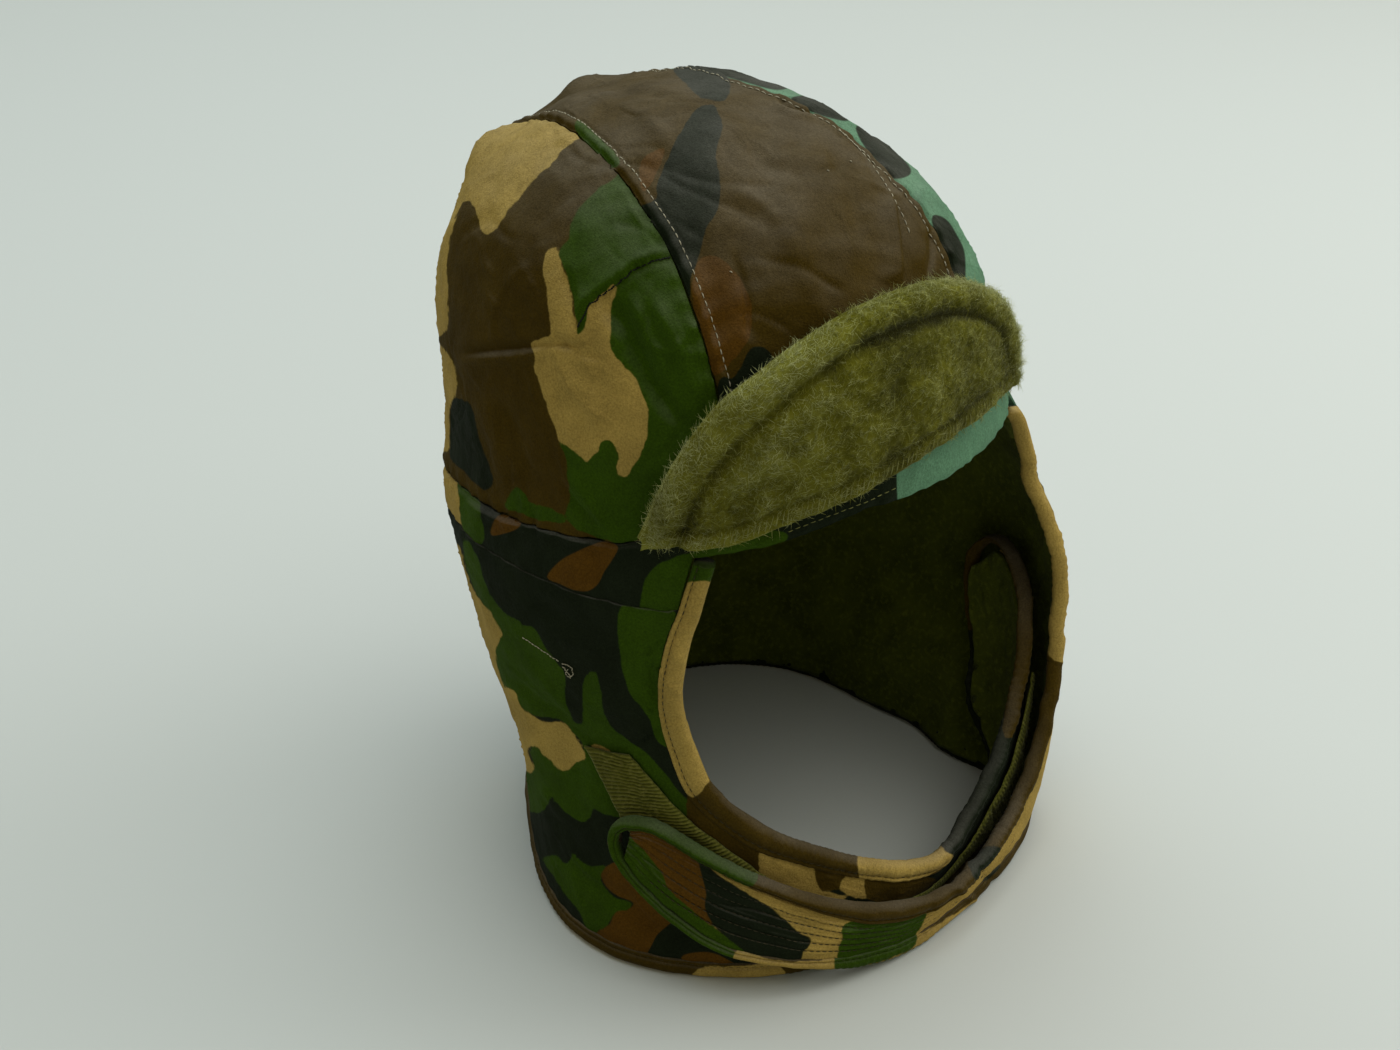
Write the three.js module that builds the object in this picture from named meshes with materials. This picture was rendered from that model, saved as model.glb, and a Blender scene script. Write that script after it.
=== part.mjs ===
// A padded cloth cap of the kind worn under a helmet, standing by itself on its hem.
// Its crown has three panels over a headband. Below the band a right and a left flap go down
// round the neck. They leave the face open, cross as chin straps and close on pile tape.
// The visor is folded up against the crown and shows its pile side.
//
// Lengths are millimetres and angles are degrees. An angle goes round the cap from the front
// (-Y), plus to the wearer's left (+X). A height is measured from the hem.

import * as THREE from 'three';

// The form: its sections by height, each two half ellipses on a centre that leans
const SECTIONS = [
  { height: 0, half: 92, front: 94, back: 98, lean: 3, middle: 0 },
  { height: 40, half: 92, front: 94, back: 99, lean: 4, middle: 2 },
  { height: 80, half: 97, front: 93, back: 103, lean: 4, middle: 5 },
  { height: 120, half: 102, front: 93, back: 110, lean: 3, middle: 8 },
  { height: 150, half: 101, front: 95, back: 112, lean: 1, middle: 11 },
  { height: 175, half: 94, front: 97, back: 111, lean: -1, middle: 13 },
  { height: 195, half: 89, front: 96, back: 109, lean: -5, middle: 15 },
  { height: 215, half: 86, front: 94, back: 107, lean: -8, middle: 16 },
  { height: 260, half: 85, front: 90, back: 102, lean: -12, middle: 17 },
  { height: 290, half: 85, front: 90, back: 100, lean: -13, middle: 17 },
];
const SHOULDER = 205;
const TOP = 290;
const ROUNDNESS = 2.2;

// Where the cloth stands away from that form: the left cheek, the chin, the hem's right
// corner, the hollow behind that corner, the left temple, and the hem's flat left side
const SWELLS = [
  { at: 56.5, height: 63, spread: 29, tall: 74, out: 20 },
  { at: 5.5, height: 33, spread: 17, tall: 21.5, out: 6 },
  { at: -74, height: 0, spread: 26, tall: 58, out: 7.5 },
  { at: -118, height: 0, spread: 22, tall: 60, out: -4.5 },
  { at: 52, height: 160, spread: 24, tall: 16, out: 3 },
  { at: 74, height: 0, spread: 12, tall: 40, out: -11 },
  { at: 101, height: 0, spread: 24, tall: 45, out: -10.5 },
];

// The crown's fullness over the left brow, its flatter left side, and the dents and the
// corner at its back
const PUFFS = [
  { x: 58, y: -38, z: 225, radius: 38, out: 5 },
  { x: 40, y: 8, z: 276, radius: 40, out: -3 },
  { x: -12, y: 54, z: 284, radius: 20, out: -2 },
  { x: -17, y: 79, z: 271, radius: 13, out: 2.5 },
  { x: -30, y: 76, z: 274, radius: 26, out: -4 },
  { x: -56, y: 78, z: 262, radius: 14, out: 4.5 },
  { x: -68, y: 82, z: 246, radius: 16, out: -4 },
];

// How the straps cross: the left one lies over the right cheek, the right one runs inside
const LIFT = { from: -38, to: 15, out: 8.5 };
const SINK = { from: -45, to: 25, out: -12.5 };

// Layers, by depth below the outer skin
const CLOTH = 1.6;
const LINING = 3;
const GAP = 0.3;
const CROWN_GAP = 0.8;
const CROWN_LINING_DEPTH = 3.3;
const BINDING_WIDTH = 7;
const BINDING_PROUD = 0.4;
const TAPE_RISE = 0.7;
const TAPE = 1.2;
const HOOK = 0.9;

// The headband: its lower edge, which is the brow between the temples, and its upper seam
const BAND = [
  { at: -180, low: 132, high: 147 },
  { at: -150, low: 134, high: 149 },
  { at: -120, low: 140, high: 154 },
  { at: -105, low: 147, high: 160.5 },
  { at: -90, low: 150.5, high: 165 },
  { at: -75, low: 152, high: 169 },
  { at: -60, low: 152, high: 172 },
  { at: -47.8, low: 152, high: 179 },
  { at: -46, low: 171, high: 180.5 },
  { at: -33, low: 175, high: 189 },
  { at: -12, low: 183.8, high: 199 },
  { at: 6, low: 183.5, high: 202 },
  { at: 22, low: 183, high: 203 },
  { at: 34, low: 181.5, high: 201 },
  { at: 46, low: 179.5, high: 194 },
  { at: 56, low: 175, high: 187 },
  { at: 56.2, low: 153, high: 186.5 },
  { at: 75, low: 154, high: 175 },
  { at: 90, low: 151.5, high: 168 },
  { at: 105, low: 147, high: 161 },
  { at: 120, low: 140, high: 154 },
  { at: 150, low: 134, high: 149 },
  { at: 180, low: 132, high: 147 },
];
const TEMPLES = [-47.8, -46, 56, 56.2];
const TEMPLE_CLEAR = 2.5;
const BAND_STEP = 10;
const BAND_LINES = 3;

// Crown seams: how far they lie from the middle as they turn from the front over the top
const CROWN_SEAMS = [
  { turn: -10, right: -61.5, left: 38 },
  { turn: 30, right: -60.2, left: 35 },
  { turn: 40, right: -60.3, left: 33.5 },
  { turn: 50, right: -60, left: 30 },
  { turn: 60, right: -59, left: 25 },
  { turn: 70, right: -58.4, left: 21 },
  { turn: 80, right: -56.8, left: 14 },
  { turn: 90, right: -55, left: 8 },
  { turn: 105, right: -51.5, left: 7 },
  { turn: 128, right: -44.5, left: 10 },
  { turn: 150, right: -43, left: 15 },
  { turn: 200, right: -42, left: 20 },
];
const HEART = new THREE.Vector3(-8, 14, 190);
const CENTRE_PANEL = { across: 9, along: 21 };
const SIDE_PANEL = { along: 21, across: 9 };
const CROWN_LINING_LINES = 7;

// Flaps and straps: sections across them from the lower edge (low) to the upper (top).
// Where no top is given the flap ends at the headband. The first row is at the back.
const HEM = BINDING_WIDTH + GAP;
const RIGHT_FLAP = [
  { lowAt: -180, low: HEM, topAt: -180 },
  { lowAt: -93, low: HEM, topAt: -60 },
  { lowAt: -87, low: HEM, topAt: -47.8 },
  { lowAt: -80, low: HEM, topAt: -50, top: 141 },
  { lowAt: -74, low: HEM, topAt: -53, top: 120 },
  { lowAt: -67.5, low: HEM, topAt: -53.3, top: 100 },
  { lowAt: -61, low: HEM, topAt: -51.3, top: 81 },
  { lowAt: -54, low: HEM, topAt: -47.6, top: 70.5 },
  { lowAt: -46, low: HEM, topAt: -42.5, top: 62 },
  { lowAt: -38, low: HEM, topAt: -36, top: 53 },
  { lowAt: -27, low: HEM, topAt: -26.5, top: 44 },
  { lowAt: -14, low: HEM, topAt: -14, top: 33.5 },
  { lowAt: 0, low: HEM, topAt: 1, top: 24 },
  { lowAt: 14, low: HEM, topAt: 14, top: 20 },
  { lowAt: 28, low: HEM, topAt: 25, top: 25 },
  { lowAt: 40, low: 9, topAt: 36, top: 34 },
  { lowAt: 50, low: 15, topAt: 43.5, top: 45 },
  { lowAt: 59, low: 26, topAt: 49.5, top: 57 },
  { lowAt: 65, low: 38, topAt: 53, top: 69 },
  { lowAt: 68.5, low: 52, topAt: 56, top: 77.5 },
  { lowAt: 71.5, low: 66, topAt: 60.5, top: 85.5 },
  { lowAt: 73.5, low: 79, topAt: 66, top: 92 },
  { lowAt: 73.5, low: 87, topAt: 70, top: 93.5 },
];
const LEFT_FLAP = [
  { lowAt: 180, low: HEM, topAt: 180 },
  { lowAt: 81, low: HEM, topAt: 60 },
  { lowAt: 78, low: HEM, topAt: 56.2 },
  { lowAt: 74, low: HEM, topAt: 55, top: 139 },
  { lowAt: 70, low: HEM, topAt: 54, top: 122 },
  { lowAt: 66, low: HEM, topAt: 53, top: 102 },
  { lowAt: 61, low: HEM, topAt: 52, top: 84 },
  { lowAt: 56, low: HEM, topAt: 50.5, top: 66 },
  { lowAt: 50, low: HEM, topAt: 47.5, top: 50 },
  { lowAt: 43, low: HEM, topAt: 43, top: 37.5 },
  { lowAt: 34, low: HEM, topAt: 35, top: 26.5 },
  { lowAt: 23, low: HEM, topAt: 24, top: 19.5 },
  { lowAt: 10, low: HEM, topAt: 10, top: 16.5 },
  { lowAt: -4, low: HEM, topAt: -4, top: 18 },
  { lowAt: -17, low: 11.5, topAt: -18.5, top: 25 },
  { lowAt: -28, low: 17, topAt: -31, top: 34 },
  { lowAt: -38, low: 22, topAt: -41, top: 44 },
  { lowAt: -46.5, low: 27, topAt: -49, top: 53 },
  { lowAt: -53, low: 35, topAt: -54.5, top: 59 },
  { lowAt: -58.3, low: 44, topAt: -57.8, top: 62 },
  { lowAt: -62, low: 52.5, topAt: -60.5, top: 62.6 },
  { lowAt: -63.3, low: 57.5, topAt: -62.6, top: 61.3 },
];
const BACK_COLUMNS = 13;
const BACK_SEAM = 179.9;
const FLAP_LINES = 6;

// Where each face edge's binding ends, at the brow
const BROW_ENDS = {
  right: { at: -46, height: 169.5 },
  left: { at: 55.8, height: 171.5 },
};

// The pile tape on the right flap, and the hook patch under the left strap's tip
const LOOP_TAPE = [
  { lowAt: -73, low: 88, topAt: -62, top: 91 },
  { lowAt: -66.5, low: 63, topAt: -52.3, top: 69.5 },
  { lowAt: -57, low: 41, topAt: -43.3, top: 55 },
  { lowAt: -43, low: 22, topAt: -33, top: 38.5 },
  { lowAt: -28, low: 13, topAt: -20, top: 27.5 },
  { lowAt: -12, low: 9, topAt: -8, top: 20 },
  { lowAt: 4, low: 8.5, topAt: 4, top: 15.5 },
  { lowAt: 17, low: 8.5, topAt: 15, top: 14 },
  { lowAt: 30, low: 9.5, topAt: 25, top: 18.5 },
  { lowAt: 41.5, low: 15, topAt: 37, top: 30 },
  { lowAt: 50.5, low: 24, topAt: 45, top: 43 },
  { lowAt: 58, low: 37, topAt: 51.5, top: 57 },
];
const TAPE_COLUMNS = 27;
const HOOK_COLUMNS = 7;
const TAPE_LINES = 4;
const HOOK_PATCH = [
  { lowAt: -40, low: 27, topAt: -42, top: 40 },
  { lowAt: -50, low: 35, topAt: -50, top: 50 },
  { lowAt: -57, low: 46, topAt: -55.5, top: 55 },
];

// The visor: its sewn lower edge and its free upper edge
const VISOR = [
  { at: -55, low: 176, high: 181 },
  { at: -49, low: 176.5, high: 202 },
  { at: -40, low: 178, high: 223 },
  { at: -28, low: 185, high: 237 },
  { at: -12, low: 192, high: 247 },
  { at: 6, low: 198, high: 249.5 },
  { at: 21, low: 198.5, high: 246 },
  { at: 32, low: 196.5, high: 238 },
  { at: 40.5, low: 192, high: 225.5 },
  { at: 46, low: 188.5, high: 210 },
  { at: 49.5, low: 186, high: 191 },
];
const VISOR_CLOTH = 1.4;
const VISOR_PILE = 4.5;
const VISOR_STAND = { low: 0.7, high: 3.5 };
const VISOR_COLUMNS = 18;
const VISOR_LINES = 5;

const GREEN = 0x3f5a2c;
const BROWN = 0x4a3320;
const TAN = 0x8f7748;
const OLIVE = 0x3b3d17;
const PILE = 0x6c6a22;

const radians = THREE.MathUtils.degToRad;

// Smooth curve through the rows of a table: column y by column x
function curve(rows, x, y) {
  const xs = rows.map((row) => row[x]);
  const ys = rows.map((row) => row[y]);
  const last = xs.length - 1;
  const rise = (i) => (ys[i + 1] - ys[i]) / (xs[i + 1] - xs[i]);
  const slope = (i) => {
    if (i === 0) return rise(0);
    if (i === last) return rise(last - 1);
    const before = xs[i] - xs[i - 1];
    const after = xs[i + 1] - xs[i];
    return (rise(i - 1) * after + rise(i) * before) / (before + after);
  };
  return (at) => {
    const here = Math.min(Math.max(at, xs[0]), xs[last]);
    let i = 0;
    while (i < last - 1 && here > xs[i + 1]) i += 1;
    const span = xs[i + 1] - xs[i];
    const t = (here - xs[i]) / span;
    const t2 = t * t;
    const t3 = t2 * t;
    const value = (2 * t3 - 3 * t2 + 1) * ys[i] + (3 * t2 - 2 * t3) * ys[i + 1];
    return value + (t3 - 2 * t2 + t) * span * slope(i) + (t3 - t2) * span * slope(i + 1);
  };
}

// Straight lines through the rows of a table, for outlines with corners
function polyline(rows, x, y) {
  return (at) => {
    let i = 0;
    while (i < rows.length - 2 && at > rows[i + 1][x]) i += 1;
    const t = (at - rows[i][x]) / (rows[i + 1][x] - rows[i][x]);
    return THREE.MathUtils.lerp(rows[i][y], rows[i + 1][y], t);
  };
}

function range(count) {
  return Array.from({ length: count }, (_, i) => i / (count - 1));
}

const halfAt = curve(SECTIONS, 'height', 'half');
const frontAt = curve(SECTIONS, 'height', 'front');
const backAt = curve(SECTIONS, 'height', 'back');
const leanAt = curve(SECTIONS, 'height', 'lean');
const middleAt = curve(SECTIONS, 'height', 'middle');
const bandLow = polyline(BAND, 'at', 'low');
const bandHigh = polyline(BAND, 'at', 'high');

// The crown's rounding: 1 below the shoulder, 0 at the top
function shrink(height) {
  const u = THREE.MathUtils.clamp((height - SHOULDER) / (TOP - SHOULDER), 0, 1);
  return (1 - u ** ROUNDNESS) ** (1 / ROUNDNESS);
}

// How far the cloth stands away from the form at one of its points
function swell(at, point) {
  let out = 0;
  for (const s of SWELLS) {
    const across = ((at - s.at) / s.spread) ** 2;
    const along = ((point.z - s.height) / s.tall) ** 4;
    out += s.out * Math.exp(-across - along);
  }
  for (const puff of PUFFS) {
    const distance = Math.hypot(point.x - puff.x, point.y - puff.y, point.z - puff.z);
    out += puff.out * Math.exp(-((distance / puff.radius) ** 2));
  }
  return out;
}

// A point of the form, pushed out by so many millimetres
function wall(at, height, out = 0) {
  const s = shrink(height);
  const sine = Math.sin(radians(at));
  const cosine = -Math.cos(radians(at));
  const reach = cosine < 0 ? frontAt(height) : backAt(height);
  const point = new THREE.Vector3(
    leanAt(height) + halfAt(height) * s * sine,
    middleAt(height) + reach * s * cosine,
    height,
  );
  const push = swell(at, point) + out;
  return point.add(new THREE.Vector3(push * sine, push * cosine, 0));
}

// The angle at which a point lies round the form
function angleOf(point) {
  const dy = point.y - middleAt(point.z);
  const reach = dy < 0 ? frontAt(point.z) : backAt(point.z);
  return THREE.MathUtils.radToDeg(Math.atan2((point.x - leanAt(point.z)) / halfAt(point.z), -dy / reach));
}

// Halves an interval that holds the change of a test from true to false
const HALVINGS = 40;

function bisect(from, to, test) {
  let low = from;
  let high = to;
  for (let i = 0; i < HALVINGS; i += 1) {
    const mid = (low + high) / 2;
    if (test(mid)) low = mid;
    else high = mid;
  }
  return (low + high) / 2;
}

const FAR = 200;

function inside(point) {
  if (point.z >= TOP) return false;
  const s = shrink(point.z);
  const dy = point.y - middleAt(point.z);
  const reach = dy < 0 ? frontAt(point.z) : backAt(point.z);
  return ((point.x - leanAt(point.z)) / (halfAt(point.z) * s)) ** 2 + (dy / (reach * s)) ** 2 < 1;
}

// The form's skin in one direction from a point within, less a depth
function skin(origin, direction, depth = 0) {
  const reach = bisect(0, FAR, (r) => inside(origin.clone().addScaledVector(direction, r)));
  const found = origin.clone().addScaledVector(direction, reach);
  const push = swell(angleOf(found), found) - depth;
  return found.addScaledVector(direction, push);
}

// Collects triangles, joins equal corners and turns the whole body to face out
class Body {
  constructor() {
    this.corners = [];
    this.known = new Map();
    this.faces = [];
  }

  corner(p) {
    const key = [p.x, p.y, p.z].map((v) => v.toFixed(4)).join();
    if (!this.known.has(key)) {
      this.known.set(key, this.corners.length);
      this.corners.push(p);
    }
    return this.known.get(key);
  }

  triangle(a, b, c) {
    const face = [this.corner(a), this.corner(b), this.corner(c)];
    if (new Set(face).size === 3) this.faces.push(face);
  }

  quad(a, b, c, d) {
    this.triangle(a, b, c);
    this.triangle(a, c, d);
  }

  geometry() {
    const spot = (i) => this.corners[i];
    const volume = this.faces.reduce(
      (sum, [a, b, c]) => sum + spot(a).dot(spot(b).clone().cross(spot(c))), 0);
    const turned = this.faces.map(([a, b, c]) => (volume < 0 ? [a, c, b] : [a, b, c]));
    const geometry = new THREE.BufferGeometry();
    geometry.setAttribute('position', new THREE.Float32BufferAttribute(
      this.corners.flatMap((p) => [p.x, p.y, p.z]), 3));
    geometry.setIndex(turned.flat());
    geometry.computeVertexNormals();
    return geometry;
  }
}

// A wall between an outer and an inner grid of points, closed all round its rim
function sheet(outer, inner, ring = false) {
  const body = new Body();
  const columns = outer.length;
  const lines = outer[0].length;
  const cells = ring ? columns : columns - 1;
  for (let i = 0; i < cells; i += 1) {
    const n = (i + 1) % columns;
    for (let j = 0; j < lines - 1; j += 1) {
      body.quad(outer[i][j], outer[n][j], outer[n][j + 1], outer[i][j + 1]);
      body.quad(inner[i][j], inner[i][j + 1], inner[n][j + 1], inner[n][j]);
    }
    const end = lines - 1;
    body.quad(outer[i][0], inner[i][0], inner[n][0], outer[n][0]);
    body.quad(outer[i][end], outer[n][end], inner[n][end], inner[i][end]);
  }
  if (!ring) {
    for (let j = 0; j < lines - 1; j += 1) {
      const end = columns - 1;
      body.quad(outer[0][j], outer[0][j + 1], inner[0][j + 1], inner[0][j]);
      body.quad(outer[end][j], inner[end][j], inner[end][j + 1], outer[end][j + 1]);
    }
  }
  return body.geometry();
}

// A closed section carried through a row of rings, with a cap at each end
function sweep(rings) {
  const body = new Body();
  const sides = rings[0].length;
  for (let i = 0; i < rings.length - 1; i += 1) {
    for (let j = 0; j < sides; j += 1) {
      const n = (j + 1) % sides;
      body.quad(rings[i][j], rings[i][n], rings[i + 1][n], rings[i + 1][j]);
    }
  }
  const end = rings[rings.length - 1];
  for (let j = 1; j < sides - 1; j += 1) {
    body.triangle(rings[0][0], rings[0][j + 1], rings[0][j]);
    body.triangle(end[0], end[j], end[j + 1]);
  }
  return body.geometry();
}

function piece(name, geometry, color, roughness = 0.9) {
  const material = new THREE.MeshStandardMaterial({ color, roughness, metalness: 0 });
  const mesh = new THREE.Mesh(geometry, material);
  mesh.name = name;
  return mesh;
}

// A point of a crown seam, or between the seams, at one turn over the top
function crownPoint(turn, x, depth = 0) {
  const up = Math.sin(radians(turn));
  const back = -Math.cos(radians(turn));
  const found = skin(new THREE.Vector3(x, HEART.y, HEART.z), new THREE.Vector3(0, back, up));
  const inward = HEART.clone().sub(found).normalize();
  return found.addScaledVector(inward, depth);
}

const rightSeam = curve(CROWN_SEAMS, 'turn', 'right');
const leftSeam = curve(CROWN_SEAMS, 'turn', 'left');

// The turns at which a line over the crown meets the headband, in front and at the back
const FRONT_TURNS = { from: -30, to: 60 };
const BACK_TURNS = { from: 120, to: 215 };

function baseTurns(xAt) {
  const above = (turn) => {
    const point = crownPoint(turn, xAt(turn));
    return point.z > bandHigh(angleOf(point)) + CROWN_GAP;
  };
  return {
    front: bisect(FRONT_TURNS.from, FRONT_TURNS.to, (turn) => !above(turn)),
    back: bisect(BACK_TURNS.from, BACK_TURNS.to, above),
  };
}

function crownCentrePanel() {
  const grid = (depth) => range(CENTRE_PANEL.across).map((w) => {
    const xAt = (turn) => THREE.MathUtils.lerp(rightSeam(turn) + GAP / 2, leftSeam(turn) - GAP / 2, w);
    const { front, back } = baseTurns(xAt);
    return range(CENTRE_PANEL.along).map((t) => {
      const turn = THREE.MathUtils.lerp(front, back, t);
      return crownPoint(turn, xAt(turn), depth);
    });
  });
  return piece('crown_centre_panel', sheet(grid(0), grid(CLOTH)), BROWN);
}

// Turns one direction towards another by a share of the angle between them
function between(from, to, share) {
  const angle = from.angleTo(to);
  if (angle < 1e-4) return from.clone();
  const a = Math.sin((1 - share) * angle) / Math.sin(angle);
  const b = Math.sin(share * angle) / Math.sin(angle);
  return from.clone().multiplyScalar(a).addScaledVector(to, b);
}

function crownSidePanel(name, seamAt, towards, color) {
  const edge = (turn) => seamAt(turn) + towards * GAP / 2;
  const { front, back } = baseTurns(edge);
  const startAngle = angleOf(crownPoint(front, edge(front)));
  const endAngle = angleOf(crownPoint(back, edge(back)));
  const grid = (depth) => range(SIDE_PANEL.along).map((u) => {
    const at = THREE.MathUtils.lerp(startAngle, endAngle, u);
    const low = wall(at, bandHigh(at) + CROWN_GAP).sub(HEART).normalize();
    const turn = THREE.MathUtils.lerp(front, back, u);
    const high = crownPoint(turn, edge(turn)).sub(HEART).normalize();
    return range(SIDE_PANEL.across).map((v) => skin(HEART, between(low, high, v), depth));
  });
  return piece(name, sheet(grid(0), grid(CLOTH)), color);
}

// Angles of the headband's columns: even steps, and both sides of each temple
function bandAngles() {
  const even = range(360 / BAND_STEP + 1).slice(1).map((t) => -180 + 360 * t);
  const clear = even.filter((at) => TEMPLES.every((temple) => Math.abs(at - temple) > TEMPLE_CLEAR));
  return [...clear, ...TEMPLES].sort((a, b) => a - b);
}

function headband() {
  const grid = (depth) => bandAngles().map((at) => range(BAND_LINES).map((v) => {
    const height = THREE.MathUtils.lerp(bandLow(at), bandHigh(at), v);
    return wall(at, height, -depth);
  }));
  return piece('headband', sheet(grid(0), grid(CLOTH), true), GREEN);
}

function crownLining() {
  const up = new THREE.Vector3(0, 0, 1);
  const grid = (depth) => bandAngles().map((at) => {
    const low = wall(at, bandLow(at) + GAP).sub(HEART).normalize();
    return range(CROWN_LINING_LINES).map((v) => skin(HEART, between(low, up, v), depth));
  });
  const outer = grid(CROWN_LINING_DEPTH);
  return piece('crown_lining', sheet(outer, grid(CROWN_LINING_DEPTH + LINING), true), OLIVE, 1);
}

function step(value, from, to) {
  return THREE.MathUtils.smoothstep(value, from, to);
}

const liftAt = (at) => LIFT.out * (1 - step(at, LIFT.from, LIFT.to));
const sinkAt = (at) => SINK.out * step(at, SINK.from, SINK.to);

// The columns of a flap: an even run below the headband, then the table's own sections
function flapColumns(rows) {
  const [first, second, ...free] = rows;
  const along = (key, t) => THREE.MathUtils.clamp(
    THREE.MathUtils.lerp(first[key], second[key], t), -BACK_SEAM, BACK_SEAM);
  const run = range(BACK_COLUMNS).map(
    (t) => ({ lowAt: along('lowAt', t), low: HEM, topAt: along('topAt', t) }));
  return [...run, ...free].map((row) => ({ ...row, top: row.top ?? bandLow(row.topAt) - GAP }));
}

// The grid of points across a flap at one depth below its outer skin
function flapGrid(columns, standAt, depth, lines = FLAP_LINES) {
  return columns.map((row) => range(lines).map((v) => {
    const at = THREE.MathUtils.lerp(row.lowAt, row.topAt, v);
    const height = THREE.MathUtils.lerp(row.low, row.top, v);
    return wall(at, height, standAt(at) - depth);
  }));
}

function flap(name, rows, standAt, color) {
  const columns = flapColumns(rows);
  return piece(name, sheet(flapGrid(columns, standAt, 0), flapGrid(columns, standAt, CLOTH)), color);
}

function flapLining(name, rows, standAt) {
  const columns = flapColumns(rows);
  const near = CLOTH + GAP;
  const outer = flapGrid(columns, standAt, near);
  return piece(name, sheet(outer, flapGrid(columns, standAt, near + LINING)), OLIVE, 1);
}

// The binding's section: across from the flap's edge, and depth below the outer skin
const BINDING_DEPTH = CLOTH + GAP + LINING;
const BINDING_ROUND = 1.3;
const BINDING_SECTION = [
  { across: GAP, depth: 0 },
  { across: GAP + BINDING_ROUND, depth: -BINDING_PROUD },
  { across: HEM - BINDING_ROUND, depth: -BINDING_PROUD },
  { across: HEM, depth: BINDING_ROUND },
  { across: HEM, depth: BINDING_DEPTH - BINDING_ROUND },
  { across: HEM - BINDING_ROUND, depth: BINDING_DEPTH + BINDING_PROUD },
  { across: GAP + BINDING_ROUND, depth: BINDING_DEPTH + BINDING_PROUD },
  { across: GAP, depth: BINDING_DEPTH },
];
const ARC_PER_DEGREE = 1.68;

// Edge tape: along the hem from the back, round the strap's tip and up the face edge
function binding(name, rows, standAt, browEnd, outward, color) {
  const columns = flapColumns(rows);
  const free = columns.filter((row, i) => i >= BACK_COLUMNS);
  const path = [
    ...columns.map((row) => new THREE.Vector2(row.lowAt * ARC_PER_DEGREE, row.low)),
    ...free.reverse().map((row) => new THREE.Vector2(row.topAt * ARC_PER_DEGREE, row.top)),
    new THREE.Vector2(browEnd.at * ARC_PER_DEGREE, browEnd.height),
  ];
  const rings = path.map((spot, i) => {
    const before = path[Math.max(i - 1, 0)];
    const after = path[Math.min(i + 1, path.length - 1)];
    const ahead = after.clone().sub(before).normalize();
    const normal = new THREE.Vector2(ahead.y, -ahead.x).multiplyScalar(outward);
    return BINDING_SECTION.map(({ across, depth }) => {
      const u = spot.x + normal.x * across;
      const height = Math.max(spot.y + normal.y * across, 0);
      const at = u / ARC_PER_DEGREE;
      return wall(at, height, standAt(at) - depth);
    });
  });
  return piece(name, sweep(rings), color);
}

// A strip laid on a flap's outer skin, or under it, with short columns of its own
function strip(name, rows, standAt, depths, columns, color) {
  const indexed = rows.map((row, i) => ({ ...row, i }));
  const keys = ['lowAt', 'low', 'topAt', 'top'];
  const curves = Object.fromEntries(keys.map((key) => [key, curve(indexed, 'i', key)]));
  const fine = range(columns).map((t) => Object.fromEntries(
    keys.map((key) => [key, curves[key](t * (rows.length - 1))])));
  const outer = flapGrid(fine, standAt, depths[0], TAPE_LINES);
  return piece(name, sheet(outer, flapGrid(fine, standAt, depths[1], TAPE_LINES)), color, 1);
}

const visorLow = curve(VISOR, 'at', 'low');
const visorHigh = curve(VISOR, 'at', 'high');

function visorLayer(name, near, far, color) {
  const angles = range(VISOR_COLUMNS + 1).map(
    (t) => THREE.MathUtils.lerp(VISOR[0].at, VISOR[VISOR.length - 1].at, t));
  const grid = (out) => angles.map((at) => range(VISOR_LINES).map((v) => {
    const height = THREE.MathUtils.lerp(visorLow(at), visorHigh(at), v);
    const stand = THREE.MathUtils.lerp(VISOR_STAND.low, VISOR_STAND.high, v);
    return wall(at, height, stand + out);
  }));
  return piece(name, sheet(grid(far), grid(near)), color, 1);
}

const cap = new THREE.Group();
cap.add(
  crownCentrePanel(),
  crownSidePanel('crown_side_right', rightSeam, -1, GREEN),
  crownSidePanel('crown_side_left', leftSeam, 1, GREEN),
  headband(),
  crownLining(),
  flap('flap_right', RIGHT_FLAP, sinkAt, GREEN),
  flap('flap_left', LEFT_FLAP, liftAt, TAN),
  flapLining('flap_lining_right', RIGHT_FLAP, sinkAt),
  flapLining('flap_lining_left', LEFT_FLAP, liftAt),
  binding('edge_binding_right', RIGHT_FLAP, sinkAt, BROW_ENDS.right, 1, TAN),
  binding('edge_binding_left', LEFT_FLAP, liftAt, BROW_ENDS.left, -1, BROWN),
  strip('loop_tape', LOOP_TAPE, sinkAt, [-TAPE_RISE - TAPE, -TAPE_RISE], TAPE_COLUMNS, PILE),
  strip('hook_patch', HOOK_PATCH, liftAt,
    [BINDING_DEPTH + GAP, BINDING_DEPTH + GAP + HOOK], HOOK_COLUMNS, OLIVE),
  visorLayer('visor_shell', 0, VISOR_CLOTH, GREEN),
  visorLayer('visor_pile', VISOR_CLOTH + GAP, VISOR_CLOTH + GAP + VISOR_PILE, PILE),
);

// The origin is the middle of the cap's footprint, on the surface that it stands on
const box = new THREE.Box3().setFromObject(cap);
const centre = box.getCenter(new THREE.Vector3());
cap.position.set(-centre.x, -centre.y, -box.min.z);

export default cap;
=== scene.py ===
import math

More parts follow.
